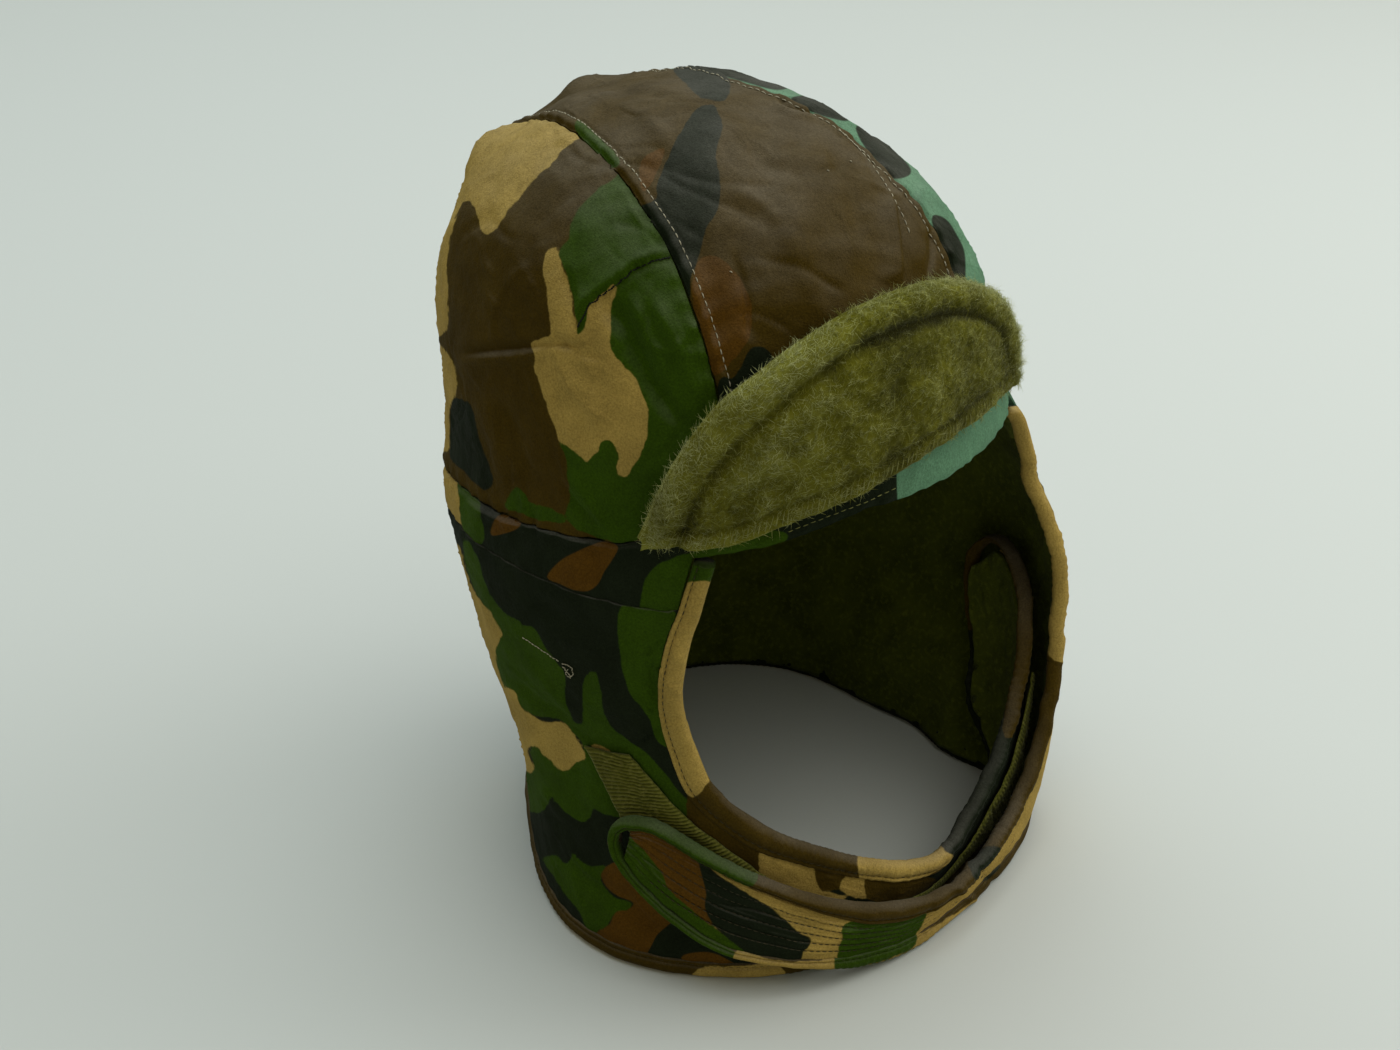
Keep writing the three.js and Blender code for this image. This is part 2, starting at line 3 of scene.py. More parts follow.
import bpy
import numpy as np
from mathutils import Matrix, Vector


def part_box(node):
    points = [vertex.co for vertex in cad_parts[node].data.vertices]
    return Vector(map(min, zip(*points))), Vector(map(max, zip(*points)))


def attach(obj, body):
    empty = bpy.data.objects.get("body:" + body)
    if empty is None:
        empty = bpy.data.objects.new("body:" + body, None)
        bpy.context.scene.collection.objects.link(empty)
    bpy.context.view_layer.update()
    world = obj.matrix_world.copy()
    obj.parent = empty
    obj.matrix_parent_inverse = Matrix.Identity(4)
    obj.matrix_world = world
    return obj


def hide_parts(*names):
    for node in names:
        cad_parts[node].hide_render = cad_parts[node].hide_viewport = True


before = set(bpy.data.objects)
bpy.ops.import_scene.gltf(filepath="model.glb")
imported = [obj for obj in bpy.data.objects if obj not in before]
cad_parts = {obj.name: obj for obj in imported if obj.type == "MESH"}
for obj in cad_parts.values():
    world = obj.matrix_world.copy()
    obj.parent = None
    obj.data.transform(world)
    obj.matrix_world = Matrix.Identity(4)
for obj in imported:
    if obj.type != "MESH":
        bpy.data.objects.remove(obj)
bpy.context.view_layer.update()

MM = 0.001

# The form, in millimetres, as in the part's source: sections by height
SECTIONS = dict(
    height=(0, 40, 80, 120, 150, 175, 195, 215, 260, 290),
    half=(92, 92, 97, 102, 101, 94, 89, 86, 85, 85),
    front=(94, 94, 93, 93, 95, 97, 96, 94, 90, 90),
    back=(98, 99, 103, 110, 112, 111, 109, 107, 102, 100),
    lean=(3, 4, 4, 3, 1, -1, -5, -8, -12, -13),
    middle=(0, 2, 5, 8, 11, 13, 15, 16, 17, 17),
)
SHOULDER, TOP, ROUNDNESS = 205.0, 290.0, 2.2

# Swells of the form: angle, height, spread in degrees, spread in height, out
SWELLS = (
    (56.5, 63, 29, 74, 20),
    (5.5, 33, 17, 21.5, 6),
    (-74, 0, 26, 58, 7.5),
    (-118, 0, 22, 60, -4.5),
    (52, 160, 24, 16, 3),
    (74, 0, 12, 40, -11),
    (101, 0, 24, 45, -10.5),
)

# Bulges and dents of the crown: x, y, z, radius, out
PUFFS = (
    (58, -38, 225, 38, 5),
    (40, 8, 276, 40, -3),
    (-12, 54, 284, 20, -2),
    (-17, 79, 271, 13, 2.5),
    (-30, 76, 274, 26, -4),
    (-56, 78, 262, 14, 4.5),
    (-68, 82, 246, 16, -4),
)

# The left strap lies over the right one: it is lifted and the right one sunk, from one angle
# to another
LIFT = dict(start=-38, end=15, out=8.5)
SINK = dict(start=-45, end=25, out=-12.5)

# Thicknesses of the cloth and what lies on it and under it, with the gaps between
CLOTH, LINING, GAP = 1.6, 3.0, 0.3
CROWN_GAP, CROWN_LINING_DEPTH = 0.8, 3.3
BINDING_WIDTH = 7.0
HEM = BINDING_WIDTH + GAP
TAPE_RISE, TAPE, HOOK = 0.7, 1.2, 0.9

# Headband: angle, lower edge, upper seam
BAND = (
    (-180, 132, 147), (-150, 134, 149), (-120, 140, 154), (-105, 147, 160.5),
    (-90, 150.5, 165), (-75, 152, 169), (-60, 152, 172), (-47.8, 152, 179),
    (-46, 171, 180.5), (-33, 175, 189), (-12, 183.8, 199), (6, 183.5, 202),
    (22, 183, 203), (34, 181.5, 201), (46, 179.5, 194), (56, 175, 187),
    (56.2, 153, 186.5), (75, 154, 175), (90, 151.5, 168), (105, 147, 161),
    (120, 140, 154), (150, 134, 149), (180, 132, 147),
)
TEMPLES = (-47.8, -46, 56, 56.2)

# Crown seams: turn over the top, right seam's x, left seam's x
CROWN_SEAMS = (
    (-10, -61.5, 38), (30, -60.2, 35), (40, -60.3, 33.5), (50, -60, 30),
    (60, -59, 25), (70, -58.4, 21), (80, -56.8, 14), (90, -55, 8),
    (105, -51.5, 7), (128, -44.5, 10), (150, -43, 15), (200, -42, 20),
)
HEART = np.array((-8.0, 14.0, 190.0))

# Flaps: lower angle, lower height, upper angle, upper height (0: at the headband)
RIGHT_FLAP = (
    (-180, HEM, -180, 0), (-93, HEM, -60, 0), (-87, HEM, -47.8, 0),
    (-80, HEM, -50, 141), (-74, HEM, -53, 120), (-67.5, HEM, -53.3, 100),
    (-61, HEM, -51.3, 81), (-54, HEM, -47.6, 70.5), (-46, HEM, -42.5, 62),
    (-38, HEM, -36, 53), (-27, HEM, -26.5, 44), (-14, HEM, -14, 33.5),
    (0, HEM, 1, 24), (14, HEM, 14, 20), (28, HEM, 25, 25), (40, 9, 36, 34),
    (50, 15, 43.5, 45), (59, 26, 49.5, 57), (65, 38, 53, 69), (68.5, 52, 56, 77.5),
    (71.5, 66, 60.5, 85.5), (73.5, 79, 66, 92), (73.5, 87, 70, 93.5),
)
LEFT_FLAP = (
    (180, HEM, 180, 0), (81, HEM, 60, 0), (78, HEM, 56.2, 0),
    (74, HEM, 55, 139), (70, HEM, 54, 122), (66, HEM, 53, 102),
    (61, HEM, 52, 84), (56, HEM, 50.5, 66), (50, HEM, 47.5, 50),
    (43, HEM, 43, 37.5), (34, HEM, 35, 26.5), (23, HEM, 24, 19.5),
    (10, HEM, 10, 16.5), (-4, HEM, -4, 18), (-17, 11.5, -18.5, 25),
    (-28, 17, -31, 34), (-38, 22, -41, 44), (-46.5, 27, -49, 53),
    (-53, 35, -54.5, 59), (-58.3, 44, -57.8, 62), (-62, 52.5, -60.5, 62.6),
    (-63.3, 57.5, -62.6, 61.3),
)
BACK_SEAM = 179.97
BROW_ENDS = dict(right=(-46, 169.5), left=(55.8, 171.5))

# Strips on the straps, with the same columns
LOOP_TAPE = (
    (-73, 88, -62, 91), (-66.5, 63, -52.3, 69.5), (-57, 41, -43.3, 55), (-43, 22, -33, 38.5),
    (-28, 13, -20, 27.5), (-12, 9, -8, 20), (4, 8.5, 4, 15.5), (17, 8.5, 15, 14),
    (30, 9.5, 25, 18.5), (41.5, 15, 37, 30), (50.5, 24, 45, 43), (58, 37, 51.5, 57),
)
HOOK_PATCH = ((-40, 27, -42, 40), (-50, 35, -50, 50), (-57, 46, -55.5, 55))

# Visor: angle, sewn lower edge, free upper edge
VISOR = (
    (-55, 176, 181), (-49, 176.5, 202), (-40, 178, 223), (-28, 185, 237),
    (-12, 192, 247), (6, 198, 249.5), (21, 198.5, 246), (32, 196.5, 238),
    (40.5, 192, 225.5), (46, 188.5, 210), (49.5, 186, 191),
)
VISOR_CLOTH = 1.4
# How far the visor stands off the crown at its sewn and at its free edge
VISOR_STAND = (0.7, 3.5)

# Millimetres round the cap to a degree
ARC_PER_DEGREE = 1.68

# The chart is the photograph's frame: its pixels, seen from its camera, place folds and patches
CHART = dict(azimuth=-37.0, elevation=32.0, roll=-0.4, distance=690.0,
             target=(-18.0, 9.0, 132.5), focal=1950.0, wide=1400.0, tall=1050.0)


def unit(vectors, tiny=0.0):
    return vectors / (np.linalg.norm(vectors, axis=-1, keepdims=True) + tiny)


def chart_axes():
    a, e, r = (math.radians(CHART[k]) for k in ("azimuth", "elevation", "roll"))
    back = np.array((math.sin(a) * math.cos(e), -math.cos(a) * math.cos(e), math.sin(e)))
    right = np.array((math.cos(a), math.sin(a), 0.0))
    up = np.cross(back, right)
    return right * math.cos(r) + up * math.sin(r), up * math.cos(r) - right * math.sin(r), back


CHART_RIGHT, CHART_UP, CHART_BACK = chart_axes()
CHART_EYE = np.array(CHART["target"]) + CHART_BACK * CHART["distance"]


def chart(points):
    """The pixel of the photograph's frame at which each point lies."""
    away = points - CHART_EYE
    depth = -(away @ CHART_BACK)
    return np.stack([
        CHART["wide"] / 2 + CHART["focal"] * (away @ CHART_RIGHT) / depth,
        CHART["tall"] / 2 - CHART["focal"] * (away @ CHART_UP) / depth,
    ], -1)


def to_eye(points):
    """Directions from points to the chart's camera."""
    return unit(CHART_EYE - points)


def smooth(value, start, end):
    t = np.clip((value - start) / (end - start), 0, 1)
    return t * t * (3 - 2 * t)


def bell(away, wide):
    """1 where away is 0, and less and less over so wide a stretch on both sides."""
    return np.exp(-((away / wide) ** 2))


def curve(xs, ys):
    """Smooth curve through points, as in the part's source."""
    xs, ys = np.array(xs, float), np.array(ys, float)
    spans = np.diff(xs)
    rises = np.diff(ys) / spans
    slopes = np.empty_like(ys)
    slopes[0], slopes[-1] = rises[0], rises[-1]
    slopes[1:-1] = (rises[:-1] * spans[1:] + rises[1:] * spans[:-1]) / (spans[1:] + spans[:-1])

    def at(x):
        x = np.clip(np.asarray(x, float), xs[0], xs[-1])
        i = np.clip(np.searchsorted(xs, x, side="left") - 1, 0, len(xs) - 2)
        t = (x - xs[i]) / spans[i]
        t2, t3 = t * t, t * t * t
        value = (2 * t3 - 3 * t2 + 1) * ys[i] + (3 * t2 - 2 * t3) * ys[i + 1]
        bend = (t3 - 2 * t2 + t) * slopes[i] + (t3 - t2) * slopes[i + 1]
        return value + bend * spans[i]
    return at


def curves_of(table):
    """Smooth curves over a table's first column, one for each of the next two."""
    return [curve([row[0] for row in table], [row[k] for row in table]) for k in (1, 2)]


half_at, front_at, back_at, lean_at, middle_at = (
    curve(SECTIONS["height"], SECTIONS[k]) for k in ("half", "front", "back", "lean", "middle"))
BAND_ANGLES, BAND_LOWS, BAND_HIGHS = (np.array(c, float) for c in zip(*BAND))
right_seam, left_seam = curves_of(CROWN_SEAMS)
visor_low, visor_high = curves_of(VISOR)


def band_low(at):
    return np.interp(at, BAND_ANGLES, BAND_LOWS)


def band_high(at):
    return np.interp(at, BAND_ANGLES, BAND_HIGHS)


def shrink(height):
    u = np.clip((height - SHOULDER) / (TOP - SHOULDER), 0, 1)
    return (1 - u ** ROUNDNESS) ** (1 / ROUNDNESS)


def add_lumps(out, points, lumps):
    """Adds round bulges and dents that lie at places in space."""
    for x, y, z, radius, push in lumps:
        away = ((points - np.array((x, y, z))) ** 2).sum(-1)
        out += push * np.exp(-away / radius ** 2)
    return out


def swell(at, points):
    """How far swells and bulges move the form outward."""
    out = np.zeros(points.shape[:-1])
    for angle, height, spread, tall, push in SWELLS:
        fall = ((at - angle) / spread) ** 2 + ((points[..., 2] - height) / tall) ** 4
        out += push * np.exp(-fall)
    return add_lumps(out, points, PUFFS)


# Folds and creases that the chart places: pixel path, half width in pixels, height in millimetres
FOLDS = (
    ("606,300 626,332 648,380 684,430", 10, -2.2),
    ("655,300 680,352 700,405", 9, 1.0),
    ("632,300 645,330 660,365", 7, 0.8),
    ("465,352 500,348 540,344 592,344", 4, -1.0),
    ("462,362 500,360 535,356", 5, 0.8),
    ("480,395 495,435 505,480", 7, 0.9),
    ("500,400 518,440 530,480", 6, -0.8),
    ("576,480 590,502 608,526", 5, 1.0),
    ("560,482 575,505 590,520", 4, -0.7),
    ("566,275 572,300 576,330", 4, -0.8),
    ("552,335 575,352 605,360", 5, -0.7),
    ("565,370 590,400 600,440", 9, 0.7),
    ("780,100 787,107 804,112 820,112", 2.2, -1.6),
    ("778,106 790,114 815,118", 4, 0.8),
    ("735,258 744,282 748,308 750,335", 4, -0.8),
    ("745,145 770,165 810,175", 8, -0.8),
    ("730,190 765,205 780,225", 7, 0.7),
    ("700,240 715,300 722,350", 12, -0.8),
    ("780,230 800,260 810,300", 12, 0.6),
    ("830,150 850,190 862,240", 8, -0.6),
    ("600,100 640,115 670,145", 8, 0.6),
    ("590,80 640,90 680,100", 5, -0.6),
    ("505,672 538,703 566,720", 5, -1.2),
    ("520,660 550,690 575,715", 6, 0.8),
    ("543,788 551,800 560,815", 3, 0.8),
    ("572,852 582,868 598,884", 3, 0.8),
    ("648,632 650,670 656,712", 5, -1.0),
    ("470,505 500,520 540,530 600,548", 5, 1.0),
    ("520,600 570,625 620,640", 13, -1.2),
    ("600,650 610,700 640,745", 12, 1.0),
    ("545,820 575,832 605,850", 12, 0.8),
    ("585,880 625,905 660,940", 13, -0.8),
    ("975,865 990,880 1000,890", 4, -0.6),
    ("955,885 972,900 978,908", 4, 0.6),
    ("930,225 932,250 930,275", 3, -0.9),
)
FOLD_GAIN = 1.5

# Edges where cloth steps down to the right of a path: path, fade in pixels, height
STEPS = (
    ("890,190 895,215 899,245 903,285", 16, 2.6),
    ("675,256 653,260 635,268 618,282 600,295 590,304 583,316 577,336", 14, 1.5),
)

# Bulges and dents of the worn cloth: x, y, z, radius, height
DENTS = (
    (-30, 82, 269, 9, -2.6), (-13, 79, 274, 9, 1.6), (-36, 60, 277, 16, -1.0),
    (-8, 30, 286, 14, -0.8), (20, 60, 275, 16, 0.8),
)
DART = "673,257 652,261 634,269 618,283 600,296 589,305 581,318 577,330"

# Crumpling all over: seed, shortest wave, longest wave, height. Each has several ridges
CREASES = ((7, 18, 40, 0.8), (17, 9, 18, 0.45))
RIDGES, SHARPNESS = 6, 9
# Heights over which the unevenness grows from nothing at the hem
CALM_HEM = (2, 25)


def waves(seed, count, low, high, stretch=(1, 1, 1)):
    """A smooth seeded field over space, made of plane waves whose lengths lie in a range."""
    rng = np.random.default_rng(seed)
    axes = rng.normal(size=(count, 3))
    axes /= np.linalg.norm(axes, axis=1, keepdims=True)
    axes *= (2 * math.pi / rng.uniform(low, high, count))[:, None] / np.array(stretch)
    phases = rng.uniform(0, 2 * math.pi, count)
    size = math.sqrt(2 / count)

    def at(points):
        total = np.zeros(points.shape[:-1])
        for axis, phase in zip(axes, phases):
            total += np.sin(points @ axis + phase)
        return total * size
    return at


RIPPLES = waves(3, 26, 30, 70)
# Unevenness of the cloth: field and height
UNEVEN = ((RIPPLES, 0.42), (waves(4, 26, 10, 20), 0.16), (waves(5, 26, 4.5, 8), 0.05))


def creases(points, seed, low, high):
    """Thin ridges that run on for a while and fade out, as in crumpled cloth."""
    rng = np.random.default_rng(seed)
    bend = waves(seed + 1, 14, 25, 60)(points)
    total = np.zeros(points.shape[:-1])
    for _ in range(RIDGES):
        axis = rng.normal(size=3)
        axis *= 2 * math.pi / rng.uniform(low, high) / np.linalg.norm(axis)
        here = 1 - np.abs(np.sin((points @ axis + rng.uniform(0, 6) + 0.9 * bend) / 2))
        mask = smooth(waves(rng.integers(1000), 10, 35, 90)(points), 0.2, 1.4)
        total += here ** SHARPNESS * mask * rng.choice((-1.0, 1.0))
    return total


def path_of(text):
    return np.array([[float(v) for v in pair.split(",")] for pair in text.split()])


def way_to(pixels, path):
    """Distance in pixels to a path, plus on its left, and the share of the path there."""
    best = np.full(pixels.shape[:-1], 1e9)
    share = np.zeros_like(best)
    sign = np.ones_like(best)
    count = len(path) - 1
    for i in range(count):
        a, d = path[i], path[i + 1] - path[i]
        off = pixels - a
        t = np.clip((off @ d) / (d @ d), 0, 1)
        away = np.linalg.norm(off - t[..., None] * d, axis=-1)
        near = away < best
        best = np.where(near, away, best)
        share = np.where(near, (i + t) / count, share)
        sign = np.where(near, np.sign(d[0] * off[..., 1] - d[1] * off[..., 0] + 1e-9), sign)
    return best, share, sign


def from_middle(points):
    """From the cap's middle, at each point's height but no higher than its heart, to the point."""
    z = np.minimum(points[..., 2], HEART[2])
    return points - np.stack([lean_at(z), middle_at(z), z], -1)


def facing(points):
    """How squarely the form's skin faces the chart's camera at these points."""
    return (unit(from_middle(points), 1e-9) * to_eye(points)).sum(-1)


def relief(points):
    """How far folds and the cloth's unevenness move a point of the skin outward."""
    out = sum(high * field(points) for field, high in UNEVEN)
    out += sum(high * creases(points, seed, short, long) for seed, short, long, high in CREASES)
    out *= smooth(points[..., 2], *CALM_HEM)
    add_lumps(out, points, DENTS)
    pixels = chart(points)
    seen = smooth(facing(points), 0.0, 0.3)
    for text, wide, high in FOLDS:
        away, share, _ = way_to(pixels, path_of(text))
        ends = smooth(share, -0.05, 0.2) * (1 - smooth(share, 0.8, 1.05))
        out = out + FOLD_GAIN * seen * high * bell(away, wide) * (0.25 + 0.75 * ends)
    for text, fade, high in STEPS:
        away, share, sign = way_to(pixels, path_of(text))
        ends = smooth(share, 0.0, 0.25) * (1 - smooth(share, 0.9, 1.0) * 0.5)
        side = smooth(away * sign, -1.5, 1.5)
        out = out + seen * high * side * ends * bell(away, fade)
    return out


def level(at):
    """The level direction straight out of the form at an angle."""
    return np.stack([np.sin(np.radians(at)), -np.cos(np.radians(at)), np.zeros_like(at)], -1)


def reach_at(z, ahead):
    """The form's depth from its middle: forward where ahead is minus, else backward."""
    return np.where(ahead < 0, front_at(z), back_at(z))


def wall(at, height, stand=0.0, depth=0.0, folds=True):
    """Points of the form: stand moves the skin outward, depth goes in below it."""
    at, height, stand = np.broadcast_arrays(
        np.asarray(at, float), np.asarray(height, float), np.asarray(stand, float))
    s = shrink(height)
    out = level(at)
    points = np.stack([
        lean_at(height) + half_at(height) * s * out[..., 0],
        middle_at(height) + reach_at(height, out[..., 1]) * s * out[..., 1],
        height,
    ], -1)
    points = points + (swell(at, points) + stand)[..., None] * out
    push = (relief(points) if folds else 0.0) - depth
    return points + np.broadcast_to(push, at.shape)[..., None] * out


def angle_of(points):
    z = points[..., 2]
    dy = points[..., 1] - middle_at(z)
    return np.degrees(np.arctan2((points[..., 0] - lean_at(z)) / half_at(z), -dy / reach_at(z, dy)))


def inside(points):
    z = np.minimum(points[..., 2], TOP - 1e-6)
    s = shrink(z)
    dy = points[..., 1] - middle_at(z)
    across = (points[..., 0] - lean_at(z)) / (half_at(z) * s)
    return (points[..., 2] < TOP) & (across ** 2 + (dy / (reach_at(z, dy) * s)) ** 2 < 1)


# How often a search halves its range, and a distance beyond any point of the form
HALVINGS, BEYOND = 36, 200.0


def bisect(low, high, test):
    """The border between values that pass the test, from low on, and those that fail it."""
    for _ in range(HALVINGS):
        mid = (low + high) / 2
        yes = test(mid)
        low, high = np.where(yes, mid, low), np.where(yes, high, mid)
    return (low + high) / 2


def skin(origin, direction, depth=0.0, folds=True):
    """The form's skin in a direction from a point within."""
    origin, direction = np.broadcast_arrays(origin, direction)
    shape = direction.shape[:-1]
    reach = bisect(np.zeros(shape), np.full(shape, BEYOND),
                   lambda r: inside(origin + direction * r[..., None]))
    found = origin + direction * reach[..., None]
    found = found + direction * swell(angle_of(found), found)[..., None]
    push = (relief(found) if folds else 0.0) - depth
    return found + direction * np.broadcast_to(push, shape)[..., None]


def crown_point(turn, x, folds=True):
    """The crown's skin at a turn over the top, in degrees from the front, and a distance x."""
    turn, x = np.broadcast_arrays(np.asarray(turn, float), np.asarray(x, float))
    t = np.radians(turn)
    direction = np.stack([np.zeros_like(t), -np.cos(t), np.sin(t)], -1)
    origin = np.stack([x, np.full_like(x, HEART[1]), np.full_like(x, HEART[2])], -1)
    return skin(origin, direction, 0.0, folds)


FRONT_TURNS, BACK_TURNS = (-30, 60), (120, 215)


def base_turns(x_at):
    """The turns at which lines over the crown meet the headband, in front and at the back."""
    def above(turn):
        found = crown_point(turn, x_at(turn), folds=False)
        return found[..., 2] > band_high(angle_of(found)) + CROWN_GAP
    none = np.zeros_like(x_at(0.0))
    front = bisect(none + FRONT_TURNS[0], none + FRONT_TURNS[1], lambda turn: ~above(turn))
    return front, bisect(none + BACK_TURNS[0], none + BACK_TURNS[1], above)


def between(low, high, shares):
    """Directions at shares of the turn from each low one to the high one."""
    angle = np.maximum(np.arccos(np.clip((low * high).sum(-1), -1, 1)), 1e-6)[:, None]
    a = np.sin((1 - shares) * angle) / np.sin(angle)
    b = np.sin(shares * angle) / np.sin(angle)
    return low[:, None] * a[..., None] + high[..., None, :] * b[..., None]


def edged(count, edge=0.35, reach=6):
    """Shares from 0 to 1 whose steps are short near both ends."""
    steps = np.ones(count)
    for i in range(reach):
        small = edge + (1 - edge) * i / reach
        steps[i] = steps[count - 1 - i] = small
    total = np.concatenate([[0], np.cumsum(steps)])
    return total / total[-1]


def lengths(points, axis):
    """Distance along a line or a grid of points from its first one, in millimetres."""
    steps = np.linalg.norm(np.diff(points, axis=axis), axis=-1)
    pad = np.zeros_like(np.take(steps, [0], axis=axis))
    return np.concatenate([pad, np.cumsum(steps, axis=axis)], axis=axis)


def outward(grid, ring=False):
    """Unit normals of a grid of columns and lines, pointing away from the cap's middle."""
    if ring:
        along = np.roll(grid, -1, 0) - np.roll(grid, 1, 0)
    else:
        along = np.gradient(grid, axis=0)
    n = unit(np.cross(along, np.gradient(grid, axis=1)), 1e-12)
    return n * np.sign((n * from_middle(grid)).sum())


def add_object(name, data):
    obj = bpy.data.objects.new(name, data)
    bpy.context.scene.collection.objects.link(obj)
    return obj


def make(name, points, faces, mat):
    """A smooth object from points in the form's own millimetres."""
    mesh = bpy.data.meshes.new(name)
    mesh.from_pydata(((points + SHIFT) * MM).tolist(), [], faces)
    mesh.validate()
    mesh.polygons.foreach_set("use_smooth", [True] * len(mesh.polygons))
    mesh.materials.append(mat)
    mesh.update()
    return add_object(name, mesh)


def quads(a, b, c, d):
    return np.stack([a.ravel(), b.ravel(), c.ravel(), d.ravel()], 1).tolist()


def tube(rings, sides):
    """Indices of a tube's points, those of their neighbours round it, and its faces."""
    index = np.arange(rings * sides).reshape(rings, sides)
    beside = np.roll(index, -1, 1)
    return index, beside, quads(index[:-1], beside[:-1], beside[1:], index[1:])


def rim_faces(fine, coarse):
    """Joins a line of points to every second one of a line beside it."""
    faces = []
    for i in range(len(coarse) - 1):
        a, b, c = fine[2 * i:2 * i + 3]
        faces += [[a, b, coarse[i]], [b, c, coarse[i + 1]], [b, coarse[i + 1], coarse[i]]]
    return faces


def sheet_faces(columns, lines, ring):
    """Faces of a closed wall: the outer grid, the inner grid at half its density, rims."""
    outer = np.arange(columns * lines).reshape(columns, lines)
    shape = (columns // 2 if ring else columns // 2 + 1, lines // 2 + 1)
    inner = columns * lines + np.arange(shape[0] * shape[1]).reshape(shape)
    if ring:
        outer, inner = (np.concatenate([g, g[:1]]) for g in (outer, inner))
    faces = quads(outer[:-1, :-1], outer[1:, :-1], outer[1:, 1:], outer[:-1, 1:])
    faces += quads(inner[:-1, :-1], inner[:-1, 1:], inner[1:, 1:], inner[1:, :-1])
    rims = [(outer[:, 0], inner[:, 0], -1), (outer[:, -1], inner[:, -1], 1)]
    if not ring:
        rims += [(outer[0], inner[0], 1), (outer[-1], inner[-1], -1)]
    for fine, coarse, order in rims:
        faces += [f[::order] for f in rim_faces(fine.tolist(), coarse.tolist())]
    return faces


def turned(points, faces):
    """Turns faces so that the closed body faces out."""
    corners = [(f[0], f[i], f[i + 1]) for f in faces for i in range(1, len(f) - 1)]
    a, b, c = (points[[t[k] for t in corners]] for k in range(3))
    return [f[::-1] for f in faces] if (a * np.cross(b, c)).sum() < 0 else faces


def sheet(name, outer, inner, mat, ring=False):
    """A closed wall between two grids of odd size, or of an even number round a ring."""
    points = np.concatenate([outer.reshape(-1, 3), inner[::2, ::2].reshape(-1, 3)])
    faces = turned(points, sheet_faces(outer.shape[0], outer.shape[1], ring))
    return make(name, points, faces, mat)


# Flaps and straps
def lift_at(at):
    return LIFT["out"] * (1 - smooth(at, LIFT["start"], LIFT["end"]))


def sink_at(at):
    return SINK["out"] * smooth(at, SINK["start"], SINK["end"])


def fine_rows(rows, count):
    """A table of four columns as smooth curves through its rows, at even steps."""
    rows = np.array(rows, float)
    places = np.arange(len(rows))
    fine = np.linspace(0, len(rows) - 1, count)
    return np.stack([curve(places, rows[:, k])(fine) for k in range(4)], 1)


FLAP_STEP, FINE_PER_ROW = 1.7, 8


def flap_columns(rows):
    """Fine columns of a flap: along the headband first, then through the free rows."""
    rows = [list(row) for row in rows]
    for row in rows:
        for k in (0, 2):
            row[k] = max(-BACK_SEAM, min(BACK_SEAM, row[k]))
        if row[3] == 0:
            row[3] = band_low(row[2]) - GAP
    first, second, corner = rows[:3]
    sewn = []
    count = 2 * int(abs(second[0] - first[0]) * ARC_PER_DEGREE / FLAP_STEP / 2)
    for a, b, parts in ((first, second, count), (second, corner, FINE_PER_ROW)):
        for t in np.linspace(0, 1, parts, endpoint=False):
            top_at = a[2] + (b[2] - a[2]) * t
            sewn.append((a[0] + (b[0] - a[0]) * t, HEM, top_at, band_low(top_at) - GAP))
    free = fine_rows(rows[2:], (len(rows) - 3) * FINE_PER_ROW + 1)
    return np.concatenate([np.array(sewn, float), free]), len(sewn)


def flap_grid(columns, stand_at, depth, shares, under=(0.0, 0.0), seam_columns=0):
    """Points across a flap. Its two edges go on by so many millimetres under the tape."""
    low_at, low, high_at, high = columns.T[:, :, None]
    across = np.hypot((high_at - low_at) * ARC_PER_DEGREE, high - low)
    free = np.arange(len(columns)) >= seam_columns
    past = np.reshape(under[0], (-1, 1)) / across
    past_top = np.reshape(under[1], (-1, 1)) / across * free[:, None]
    shares = shares * (1 + past + past_top) - past
    at = low_at + (high_at - low_at) * shares
    return wall(at, low + (high - low) * shares, stand_at(at), depth)


def find_shift():
    """The move from the form's own millimetres to the frame's, from the headband's corner."""
    even = [a for a in range(-170, 181, 10) if all(abs(a - t) > 2.5 for t in TEMPLES)]
    at = np.array(sorted(even + list(TEMPLES)))
    edges = np.concatenate([wall(at, f(at), folds=False) for f in (band_low, band_high)])
    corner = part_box("headband")[0]
    return np.array((corner.x / MM, corner.y / MM, 0.0)) - np.array((*edges.min(0)[:2], 0.0))


SHIFT = find_shift()

COLOURS = ("tan", "green", "brown", "black", "rust", "teal")
